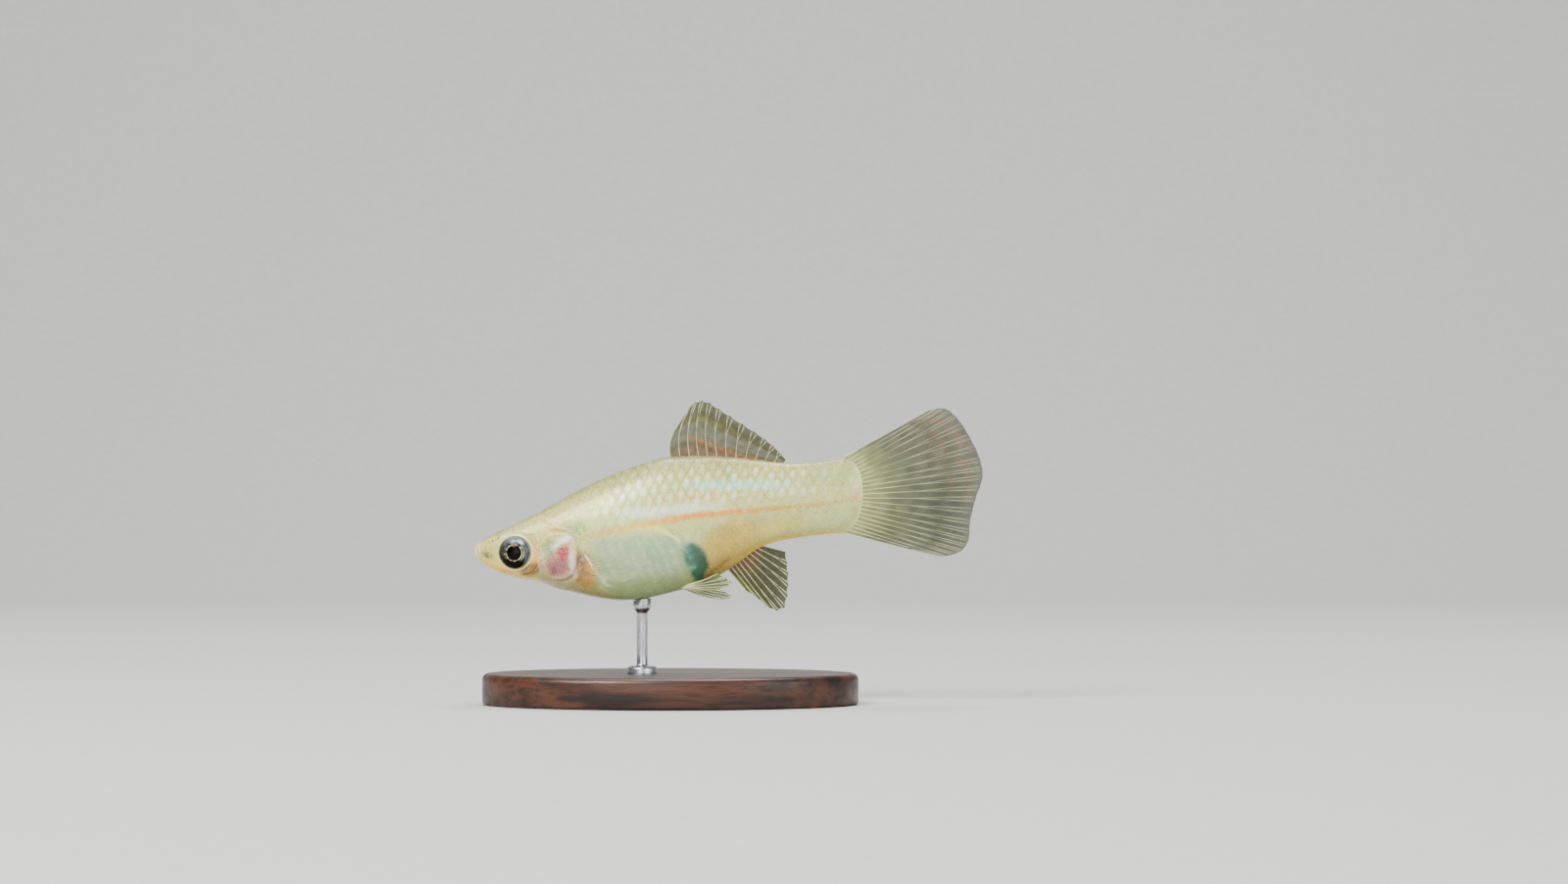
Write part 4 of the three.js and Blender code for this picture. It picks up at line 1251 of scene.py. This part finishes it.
# What every colour and every share has in common
COLOUR = {"subtype": "COLOR_GAMMA", "size": 3, "min": 0, "max": 1}
SHARE = {"subtype": "FACTOR", "min": 0, "max": 1}


class SkinSettings(bpy.types.PropertyGroup):
    stripe: FloatVectorProperty(
        name="Stripe", description="Colour of the side stripe", default=(0.93, 0.65, 0.10), **COLOUR)
    spot: FloatVectorProperty(
        name="Brood spot", description="Colour of the dark spot over the brood", default=(0.31, 0.50, 0.44),
        **COLOUR)
    gill: FloatVectorProperty(
        name="Gill cover", description="Colour that shows through the gill cover", default=(0.84, 0.31, 0.38),
        **COLOUR)
    wetness: FloatProperty(name="Wetness", description="Strength of the clear coat", default=0.3, **SHARE)
    rim_strength: FloatProperty(
        name="Scale rims", description="How dark the scales' rims are", default=0.24, **SHARE)


class ScaleSettings(bpy.types.PropertyGroup):
    pitch: FloatProperty(
        name="Pitch", description="Distance between scales along a row, in millimetres", min=0.8, max=3,
        default=1.35)
    row_gap: FloatProperty(
        name="Row gap", description="Distance between rows at mid body, in millimetres", min=0.6, max=2.5,
        default=1.45)
    lift: FloatProperty(
        name="Lift", description="How far a scale's rear edge stands off the skin, in millimetres", min=0.01,
        max=0.3, default=0.03)
    thickness: FloatProperty(
        name="Thickness", description="A scale's thickness, in millimetres", min=0.02, max=0.1, default=0.03)


class FinSettings(bpy.types.PropertyGroup):
    membrane: FloatProperty(
        name="Membrane", description="Thickness of a fin's membrane, in millimetres", min=0.03, max=0.3,
        default=0.09)
    ray: FloatProperty(
        name="Ray", description="Radius of a fin ray at its root, in millimetres", min=0.03, max=0.2,
        default=0.085)


class EyeSettings(bpy.types.PropertyGroup):
    pupil: FloatProperty(
        name="Pupil", description="Radius of the pupil, in millimetres", min=0.5, max=1.4, default=0.93)
    iris: FloatVectorProperty(
        name="Iris", description="Colour of the iris", default=(0.35, 0.37, 0.39), **COLOUR)


class StandSettings(bpy.types.PropertyGroup):
    wood: FloatVectorProperty(
        name="Wood", description="Colour of the base", default=(0.30, 0.17, 0.10), **COLOUR)
    edge: FloatProperty(
        name="Edge", description="Round of the base's upper edge, in millimetres", min=0.2, max=1.5,
        default=0.8)


class StageSettings(bpy.types.PropertyGroup):
    lens: FloatProperty(
        name="Lens", description="Focal length", subtype="DISTANCE_CAMERA", min=20, max=300, default=100)
    distance: FloatProperty(
        name="Camera distance", description="From the camera to the fish's middle plane", subtype="DISTANCE",
        unit="LENGTH", min=0.1, max=3, default=0.5556)
    aim: FloatVectorProperty(
        name="Aim", description="Point at the middle of the picture", subtype="TRANSLATION", unit="LENGTH",
        size=3, default=(0.0145, 0.0, 0.033475))
    light: FloatProperty(
        name="Light", description="Power of the main light", subtype="POWER", min=0.1, max=50, default=7.5)
    floor: FloatVectorProperty(
        name="Floor", description="Colour of the floor and backdrop", default=(0.74, 0.74, 0.73), **COLOUR)


class SwordtailSettings(bpy.types.PropertyGroup):
    skin: PointerProperty(type=SkinSettings, name="Skin", description="Colours and gloss of the skin")
    scales: PointerProperty(type=ScaleSettings, name="Scales", description="Size and lie of the scales")
    fins: PointerProperty(type=FinSettings, name="Fins", description="Membranes and rays")
    eyes: PointerProperty(type=EyeSettings, name="Eyes", description="Size and colour of the eyes")
    stand: PointerProperty(type=StandSettings, name="Stand", description="Base and rod")
    stage: PointerProperty(type=StageSettings, name="Stage", description="Camera, lights and floor")


# Pieces


class AddSkin(bpy.types.Operator):
    """Builds the one skin over head, jaw, trunk, tail stalk and gill covers"""

    bl_idname = "swordtail.skin"
    bl_label = "Skin"

    def execute(self, context):
        look = context.scene.swordtail.skin
        around, rings = 240, 400
        angle = turns(around)
        x = (np.arange(1, rings + 1)[:, None] / rings) ** 1.5 * stalk_end(angle)
        angle = np.broadcast_to(angle, x.shape)
        bare = flesh(x, angle)
        points = bare + flesh_normal(x, angle) * self.relief(bare)[..., None]
        points[-1] = bare[-1]
        points[..., 1] += self.socket(bare, points)
        left = slice(around // 4, 3 * around // 4 + 1)

        def in_order(tip, shape):
            """The snout tip, every ring but the last and the last one's left half."""
            return np.concatenate([tip, shape[:-1].reshape(-1, 3), shape[-1, left]])

        faces = [*capped_faces(rings - 1, around)[:2], self.rear_edge(rings, around)]
        piece = make_piece("skin", in_order([[0, 0, 0]], points), faces)
        tint, shine, grains, dots = markings(in_order(bare[:1, 0], bare), look)
        set_values(piece, tint=tint, shine=shine, grains=grains, dots=dots)
        skin_finish(look).dress(piece)
        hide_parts("head", "lower_jaw", "trunk", "tail_stalk", "gill_cover_left", "gill_cover_right")
        return {"FINISHED"}

    def relief(self, bare):
        """The head's relief and a slight unevenness, with the skin sunk a little under the scales."""
        x, z = bare[..., 0], bare[..., 2]
        covered = fade(x - table_line(SCALES_FRONT, z), -0.5, 0.3)
        return head_relief(bare) - 0.08 * covered + 0.012 * ripple(x, z, 1.6, 71)

    def socket(self, bare, points):
        """How far the skin moves sideways to lie under the eye, on a plane behind the eye's own."""
        x, y = bare[..., 0], bare[..., 1]
        away = np.hypot(x - EYE["x"], bare[..., 2] - EYE["z"])
        sunk = fall(away, EYE["radius"] - 0.08, EYE["radius"] + 0.12)
        side = np.sign(y) * fade(np.abs(y), 0.4, 1.0)
        return sunk * side * (eye_plane(x) - 0.32 - np.abs(points[..., 1]))

    def rear_edge(self, rings, around):
        """Faces that close the skin behind, where its two sides meet in one line from back to belly."""
        k = np.arange(around)
        quarter = around // 4
        left = np.where((k >= quarter) & (k <= 3 * quarter), k, (around // 2 - k) % around)
        ring = 1 + (rings - 2) * around
        end = ring + around + left - quarter
        return np.stack([ring + k, ring + (k + 1) % around, np.roll(end, -1), end], -1)


class AddScales(bpy.types.Operator):
    """Lays overlapping scales in rows over both sides of the body"""

    bl_idname = "swordtail.scales"
    bl_label = "Scales"

    # The flesh under the scales keeps at least this share of its width
    THINNEST = 0.14

    def execute(self, context):
        settings = context.scene.swordtail
        size = settings.scales
        x0, turn, rate, tall = self.centres(size)
        count = len(x0)
        long, wide = 6, 8
        a, b = np.meshgrid(np.linspace(-1, 1, long), np.linspace(-1, 1, wide), indexing="ij")
        # A square's grid drawn in to a disc
        lengthwise, sideways = a * np.sqrt(1 - b * b / 2), b * np.sqrt(1 - a * a / 2)
        draw = np.random.default_rng(5)
        each = [values[:, None, None] for values in (x0, turn, rate * tall, self.softness(x0, turn))]
        grown = (0.95 + 0.1 * draw.random(count))[:, None, None]
        angle = each[1] + each[2] * sideways * grown
        x = np.minimum(each[0] + 0.8 * size.pitch * grown * lengthwise, stalk_end(angle) - 0.01)
        rise = -0.02 + (0.02 + size.lift * each[3]) * (0.5 + 0.5 * lengthwise) ** 1.15
        tilt = draw.normal(0, 0.003, count)[:, None, None]
        rise = rise + 0.012 * (1 - sideways**2) - 0.07 + tilt * lengthwise
        base, normal = flesh(x, angle, self.THINNEST), flesh_normal(x, angle, self.THINNEST)
        top, under = (base + normal * height[..., None] for height in (rise, rise - size.thickness))

        edge = sheet_edge(long, wide)
        k = np.arange(len(edge))
        corners = long * wide
        block = corners + len(edge)
        rim = np.stack([edge, np.roll(edge, -1), corners + np.roll(k, -1), corners + k], -1)
        faces = repeated([grid_faces(long, wide), rim[:, ::-1], corners + k[None, ::-1]], count, block)

        def in_order(upper, lower):
            """Every scale's upper face, and then the edge of its lower one."""
            return np.concatenate([upper.reshape(count, -1, 3), lower.reshape(count, -1, 3)[:, edge]], 1)

        points, body = in_order(top, under), in_order(base, base)
        place = np.stack([lengthwise, sideways], -1).reshape(-1, 2)
        place = np.concatenate([place, place[edge]])
        middle = 0.05 + 0.9 * np.stack([x0 / ALONG[1], turn / (2 * math.pi)], -1)
        uv = (middle[:, None] + 0.0015 * place).reshape(-1, 2)

        for name, side in (("scales_left", 1), ("scales_right", -1)):
            mirror = (1, side, 1)
            piece = make_piece(name, points * mirror, faces if side > 0 else mirrored(faces))
            tint, shine, grains, dots = markings((body * mirror).reshape(-1, 3), settings.skin)
            lightness = np.repeat(1 + draw.normal(0, 0.015, count), block)
            gloss = np.repeat(0.8 + 0.4 * draw.random(count), block)
            glint = self.glints(x0, turn) * (0.3 + 0.7 * draw.random(count))
            set_values(
                piece, tint=np.clip(tint * lightness[:, None], 0, 1), shine=np.clip(shine * gloss, 0, 1),
                grains=grains, dots=dots, lengthwise=np.tile(place[:, 0], count),
                sideways=np.tile(place[:, 1], count), edge=np.repeat(self.softness(x0, turn), block),
                glint=np.repeat(glint, block))
            corner = np.zeros(len(piece.data.loops), np.int32)
            piece.data.loops.foreach_get("vertex_index", corner)
            layer = piece.data.uv_layers.new(name="OFBake")
            spread = uv if side > 0 else np.abs((0, 1) - uv)
            layer.data.foreach_set("uv", spread[corner].astype(np.float32).ravel())
            scale_finish(settings.skin).dress(piece)
        return {"FINISHED"}

    def softness(self, x0, turn):
        """How plainly each scale shows: full over the back, and least over the stretched belly."""
        above = flesh(x0, turn, self.THINNEST)[:, 2] - table_line(STRIPE, x0)
        return np.clip(0.12 + 0.88 * fade(above, 0.6, 2.4) * between(x0, 12, 18, 38, 46), 0, 1)

    def glints(self, x0, turn):
        """How silvery each scale's crescent is (its own silver and a painted reflection): brightest between
        the stripe and the back.
        """
        height = flesh(x0, turn, self.THINNEST)[:, 2]
        share = (height - belly(x0)) / (back(x0) - belly(x0))
        above = height - table_line(STRIPE, x0)
        bright = fade(above, 0.8, 2.2) * fall(share, 0.84, 0.95) * between(x0, 13, 18, 36, 47)
        pale = fade(above, -1.5, 0.5) * fade(x0, 13, 18)
        return np.clip((0.42 + 0.36 * fade(x0, 18, 28)) * bright + 0.12 * pale, 0, 1)

    def centres(self, size):
        """Every scale's middle: columns half a pitch apart, every second row in each, at even steps of the
        distance round the section from the widest height. A row drops out where it reaches the back or belly.
        With its x and angle come the turn for each millimetre round the section and half its height."""
        angle = np.linspace(math.pi / 2, 3 * math.pi / 2, 901)
        found = []
        for j, x in enumerate(np.arange(8.4, 50.3, size.pitch / 2)):
            line = flesh(np.full(angle.shape, x), angle, self.THINNEST)
            length = np.r_[0, np.cumsum(np.linalg.norm(np.diff(line, axis=0), axis=1))]
            gap = size.row_gap * np.interp(x, [8, 22, 40, 50], [0.9, 1.0, 0.8, 0.74])
            rows = np.arange(-30, 31)
            at = np.interp(math.pi, angle, length) + rows[(rows + j) % 2 == 0] * gap
            at = at[(at > 0.25 * gap) & (at < length[-1] - 0.25 * gap)]
            turn = np.interp(at, length, angle)
            rate = (np.interp(at + 0.1, length, angle) - np.interp(at - 0.1, length, angle)) / 0.2
            height = np.interp(turn, angle, line[:, 2])
            keep = (x > table_line(SCALES_FRONT, height)) & (x < stalk_end(turn) - 0.35)
            found.append(np.stack(np.broadcast_arrays(x, turn[keep], rate[keep], 1.1 * gap)))
        return np.concatenate(found, 1)


class AddEyes(bpy.types.Operator):
    """Builds both eyes, each a shallow dome with its pupil and rings under a clear coat"""

    bl_idname = "swordtail.eyes"
    bl_label = "Eyes"

    # The colour of the side that lies in the head
    HIDDEN = (12, 13, 14)

    def execute(self, context):
        look = context.scene.swordtail.eyes
        rings, around = 44, 96
        angle = turns(around)
        share = np.linspace(0, 1, rings + 1)[1:, None]
        under = np.array([1.0, 0.7, 0.35])[:, None]
        dome = EYE["dome"] * (1 - share**2) ** 0.6 - 0.05 * ridge(EYE["radius"] * share - look.pupil, 0.1)
        reach = EYE["radius"] * np.concatenate([share, under])
        out = np.concatenate([dome, -0.25 - 0.3 * (1 - under)])
        tint, shine = self.colours(EYE["radius"] * share, angle, look)
        hidden = np.zeros(len(under) * around + 1)
        plain = hidden[:, None] + np.array(self.HIDDEN) / 255
        tint = np.concatenate([tint[:1, 0], tint.reshape(-1, 3), plain])
        shine = np.concatenate([shine[:1, 0], shine.ravel(), hidden])
        for name, side in (("left", -1), ("right", 1)):
            front, rear = (self.place(0, height, 0, side)[None] for height in (EYE["dome"], -0.6))
            shell = self.place(reach * np.cos(angle), out, reach * np.sin(angle), side)
            faces = capped_faces(len(reach), around)
            points = np.concatenate([front, shell.reshape(-1, 3), rear])
            piece = make_piece("eye_ball_" + name, points, mirrored(faces) if side > 0 else faces)
            turn_outwards(piece)
            set_values(piece, tint=tint, shine=shine)
            eye_finish().dress(piece)
            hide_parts("eye_" + name)
        return {"FINISHED"}

    def place(self, along, out, up, side):
        """A point of the eye: along the fish, out from the eye's plane and up, turned a little forwards."""
        turn = EYE["turn"]
        x = EYE["x"] + along * math.cos(turn) - out * math.sin(turn)
        y = EYE["y"] + out * math.cos(turn) + along * math.sin(turn)
        return np.stack(np.broadcast_arrays(x, side * y, EYE["z"] + up), -1)

    def colours(self, r, angle, look):
        """Rings by the distance from the pupil's middle, with fine streaks that run outwards and painted
        highlights over the iris.
        """
        r, angle = np.broadcast_arrays(r, angle)
        streak = ripple(angle * 9, r * 0.6, 1.0, 81)
        uneven = ripple(np.cos(angle) * 2.2, np.sin(angle) * 2.2, 1.4, 82)
        front = Coat(angle - 2 * math.pi * (angle > 1.5 * math.pi), r, np.array(look.iris))
        front.lay(
            ((116, 124, 136), 0.8 * front.spot(-0.1, 1.5, 0.7, 0.36)),
            # Painted highlights: the lighter top of the iris, a white spot at its upper right and a thin
            # white one at its lower right
            ((148, 166, 180), 0.75 * front.spot(1.75, 1.68, 0.75, 0.26)),
            ((222, 236, 244), 0.9 * front.spot(1.02, 1.6, 0.34, 0.24)),
            ((214, 226, 232), 0.6 * front.spot(-0.75, 1.7, 0.25, 0.1)),
        )
        coat = Coat(angle, r, front.colour)
        coat.lay(((14, 15, 18), 0.95 * coat.spot(4.6, 1.45, 1.05, 0.6, power=4)))
        coat.colour = coat.colour * (1 + 0.16 * streak[..., None])
        gold = ridge(r - look.pupil - 0.1, 0.046 + 0.028 * uneven) * fade(uneven, -0.9, 0.2)
        ends = fade(np.cos(angle), 0.3, 0.9) + 0.9 * fade(-np.cos(angle), 0.6, 0.95)
        outer = ridge(r - look.pupil - 0.36, 0.05) * ends
        coat.lay(
            ((248, 230, 176), 0.95 * gold),
            ((232, 232, 216), 0.8 * outer * fade(uneven, -0.6, 0.4)),
            ((186, 206, 210), 0.75 * fade(r, 1.86, 1.94) * fade(np.cos(angle - 0.6), -0.9, 0.2)),
            ((3, 3, 4), fall(r, look.pupil - 0.02, look.pupil + 0.05)),
        )
        shine = fade(r, look.pupil, look.pupil + 0.1) * fall(r, 1.84, 1.95)
        return paint(np.clip(coat.colour, 0, 1)), shine


class AddFins(bpy.types.Operator):
    """Builds the seven fins, each a thin membrane with its branching rays"""

    bl_idname = "swordtail.fins"
    bl_label = "Fins"

    def execute(self, context):
        size = context.scene.swordtail.fins
        membrane, bone = membrane_finish(), ray_finish()
        for name, fin in fin_shapes().items():
            kind = name.split("_")[0]
            look = FIN_LOOKS[kind]
            points, faces, u, v = fin_sheet(name, fin, size.membrane)
            sheet = make_piece(name + "_membrane", points, faces)
            turn_outwards(sheet)
            tint, cover, freckles = (
                np.concatenate([values.reshape(v.size, -1).squeeze()] * 2)
                for values in fin_colours(kind, fin["rays"], u, v)
            )
            set_values(sheet, tint=tint, cover=cover, freckles=freckles)
            membrane.dress(sheet)
            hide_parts(name)

            points, faces, along, reach, across = fin_rays(name, fin, size.ray * look["rays"], size.membrane)
            rays = make_piece(name + "_rays", points, faces)
            coat = Coat(across, reach, np.array(look["far"]) / 255)
            coat.lay((look["near"], fall(reach, 0.05, 0.4)))
            cover = np.ones(len(points))
            if kind == "tail":
                olive = between(reach, 0.02, 0.05, 0.2, 0.34) * fall(across, 0.3, 0.45)
                coat.lay(((150, 156, 120), 0.7 * olive))
            if kind == "pectoral":
                cover = 0.14 + 0.6 * fall(reach, 0.05, 0.35)
            jointed = fade(reach, 0.12, 0.3)
            set_values(rays, tint=paint(coat.colour), cover=cover, along=along / JOINT, jointed=jointed)
            bone.dress(rays)
        return {"FINISHED"}


class AddStand(bpy.types.Operator):
    """Builds the oval wooden base and the steel rod that holds the fish"""

    bl_idname = "swordtail.stand"
    bl_label = "Stand"

    HEIGHT = 4.0
    ROD_X = -3.6

    def execute(self, context):
        settings = context.scene.swordtail.stand
        self.base(settings)
        self.rod()
        return {"FINISHED"}

    def base(self, settings):
        """An oval of 48 by 27 mm, carried up a profile with a small foot bevel and a rounded upper edge."""
        edge, tall = settings.edge, self.HEIGHT
        bend = np.linspace(0, math.pi / 2, 8)[1:]
        inset = np.r_[0.5, 0.15, 0.0, 0.0, edge * (1 - np.cos(bend)), edge + np.linspace(1.5, 12.5, 8)]
        height = np.r_[0.0, 0.12, 0.4, tall - edge, tall - edge + edge * np.sin(bend), np.full(8, tall)]
        angle = turns(160)
        inset, height = inset[:, None], height[:, None] + 0 * angle
        rings = np.stack([(24 - inset) * np.cos(angle), (13.5 - inset) * np.sin(angle), height], -1)
        finish = wood_finish(screen(settings.wood))
        self.lathe("base_oval", [0, 0, 0], rings, [0, 0, tall], "stand_wood", "stand_base", finish)

    def rod(self):
        """A round profile of collar, rod and pad, whose top follows the belly over it."""
        profile = np.array([
            [1.9, 4.0], [1.9, 4.62], [1.82, 4.8], [1.6, 4.9], [0.95, 4.9], [0.78, 4.98], [0.7, 5.2],
            [0.7, 6.5], [0.7, 8.5], [0.7, 10.4], [0.7, 11.6], [0.78, 11.85], [1.0, 12.05], [1.12, 12.3],
            [1.15, 12.6],
        ])
        cap = np.array([[1.15, 0.1], [1.08, 0.02], [0.7, 0.02], [0.35, 0.02]])
        angle = turns(64)
        radius = np.concatenate([profile[:, :1], cap[:, :1]])
        x, y = self.ROD_X + radius * np.cos(angle), radius * np.sin(angle)
        under = self.under_belly(x[-len(cap):], y[-len(cap):]) - cap[:, 1:]
        rings = np.stack([x, y, np.concatenate([profile[:, 1:] + 0 * angle, under])], -1)
        tip = [self.ROD_X, 0, float(self.under_belly(self.ROD_X, 0)) - 0.02]
        foot = [self.ROD_X, 0, self.HEIGHT]
        self.lathe("rod_turned", foot, rings, tip, "stand_steel", "stand_rod", steel_finish())

    def under_belly(self, x, y):
        """The height of the belly's skin over a point of the stand, in the stand's frame."""
        return SNOUT[2] + belly_height(x - SNOUT[0], y)

    def lathe(self, name, first, rings, last, slot, node, finish):
        """A closed form of rings between two ends."""
        points = np.concatenate([[first], rings.reshape(-1, 3), [last]])
        piece = make_piece(name, points, capped_faces(*rings.shape[:2]), at=0)
        turn_outwards(piece)
        finish.dress(piece)
        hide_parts(node)


class AddStage(bpy.types.Operator):
    """Sets up the pale sweep, the soft lights and the camera"""

    bl_idname = "swordtail.stage"
    bl_label = "Stage"

    # Each light's name, place in metres, size in metres and power against the main light's
    LIGHTS = (
        ("key", (-0.28, -0.42, 0.5), 0.32, 1.0), ("fill", (0.5, -0.5, 0.2), 0.5, 0.35),
        ("top", (0.05, 0.12, 0.6), 0.4, 0.7), ("low", (-0.1, -0.5, 0.05), 0.3, 0.12),
    )

    def execute(self, context):
        stage = context.scene.swordtail.stage
        self.sweep(screen(stage.floor))
        for name, place, size, power in self.LIGHTS:
            self.light(name, place, size, power * stage.light)
        world = bpy.data.worlds.new("studio")
        world.use_nodes = True
        world.node_tree.nodes["Background"].inputs["Color"].default_value = (0.9, 0.93, 1.0, 1)
        world.node_tree.nodes["Background"].inputs["Strength"].default_value = 0.32
        context.scene.world = world
        self.camera(stage)
        return {"FINISHED"}

    def sweep(self, floor):
        """A sheet of paper, in metres: flat under the stand, a quarter circle behind it and then upright."""
        bend = np.linspace(0, math.pi / 2, 24)
        y = np.r_[-1.2, -0.3, 0.0, 0.2, 0.35 + 0.3 * np.sin(bend), 0.65]
        z = np.r_[0, 0, 0, 0, 0.3 - 0.3 * np.cos(bend), 1.6]
        x = np.linspace(-1.6, 1.6, 9)
        points = np.stack(np.broadcast_arrays(x, y[:, None], z[:, None]), -1).reshape(-1, 3)
        mesh = bpy.data.meshes.new("sweep")
        mesh.from_pydata(points.tolist(), [], grid_faces(len(y), len(x))[:, ::-1].tolist())
        mesh.polygons.foreach_set("use_smooth", np.ones(len(mesh.polygons), bool))
        paper = Finish("Backdrop paper", Roughness=0.85)
        grain = paper.span(paper.noise(2.0, 4), 0.3, 0.7)
        paper.give(Base_Color=paper.mix(grain, floor, tuple(0.97 * value for value in floor)))
        sheet = self.hold("sweep", mesh)
        paper.dress(sheet)

    def light(self, name, place, size, power):
        """A round soft light, turned towards the fish."""
        lamp = bpy.data.lights.new(name, "AREA")
        lamp.shape = "DISK"
        lamp.size = size
        lamp.energy = power
        held = self.hold(name, lamp)
        held.location = place
        held.rotation_euler = (Vector((0.01, 0, 0.025)) - Vector(place)).to_track_quat("-Z", "Y").to_euler()

    def camera(self, stage):
        """The camera looks level at the fish's left side, from the set distance before the aim."""
        lens = bpy.data.cameras.new("camera")
        lens.lens = stage.lens
        lens.sensor_width = 36
        lens.clip_start = 0.01
        lens.clip_end = 20
        held = self.hold("camera", lens)
        held.location = Vector(stage.aim) + Vector((0, -stage.distance, 0))
        held.rotation_euler = (math.pi / 2, 0, 0)
        bpy.context.scene.camera = held

    def hold(self, name, data):
        """An object in the scene for a mesh, a light or a camera."""
        held = bpy.data.objects.new(name, data)
        bpy.context.scene.collection.objects.link(held)
        return held


class SwordtailPanel(bpy.types.Panel):
    """Lists the pieces and their settings"""

    bl_idname = "VIEW3D_PT_swordtail"
    bl_label = "Swordtail"
    bl_space_type = "VIEW_3D"
    bl_region_type = "UI"
    bl_category = "Swordtail"

    def draw(self, context):
        for operator in PIECES:
            box = self.layout.box()
            box.operator(operator.bl_idname)
            group = getattr(context.scene.swordtail, operator.bl_idname.split(".")[1])
            for name in group.__annotations__:
                box.prop(group, name)


PIECES = (AddStage, AddSkin, AddScales, AddEyes, AddFins, AddStand)
CLASSES = (
    SkinSettings, ScaleSettings, FinSettings, EyeSettings, StandSettings, StageSettings, SwordtailSettings,
    *PIECES, SwordtailPanel,
)


def register():
    """Makes the classes known and hangs the settings on the scene."""
    for kind in CLASSES:
        bpy.utils.register_class(kind)
    bpy.types.Scene.swordtail = PointerProperty(type=SwordtailSettings)


def unregister():
    """Takes both away again."""
    del bpy.types.Scene.swordtail
    for kind in reversed(CLASSES):
        bpy.utils.unregister_class(kind)


def main():
    register()
    for operator in (
        bpy.ops.swordtail.stage, bpy.ops.swordtail.skin, bpy.ops.swordtail.scales, bpy.ops.swordtail.eyes,
        bpy.ops.swordtail.fins, bpy.ops.swordtail.stand,
    ):
        operator()


if __name__ == "__main__":
    main()
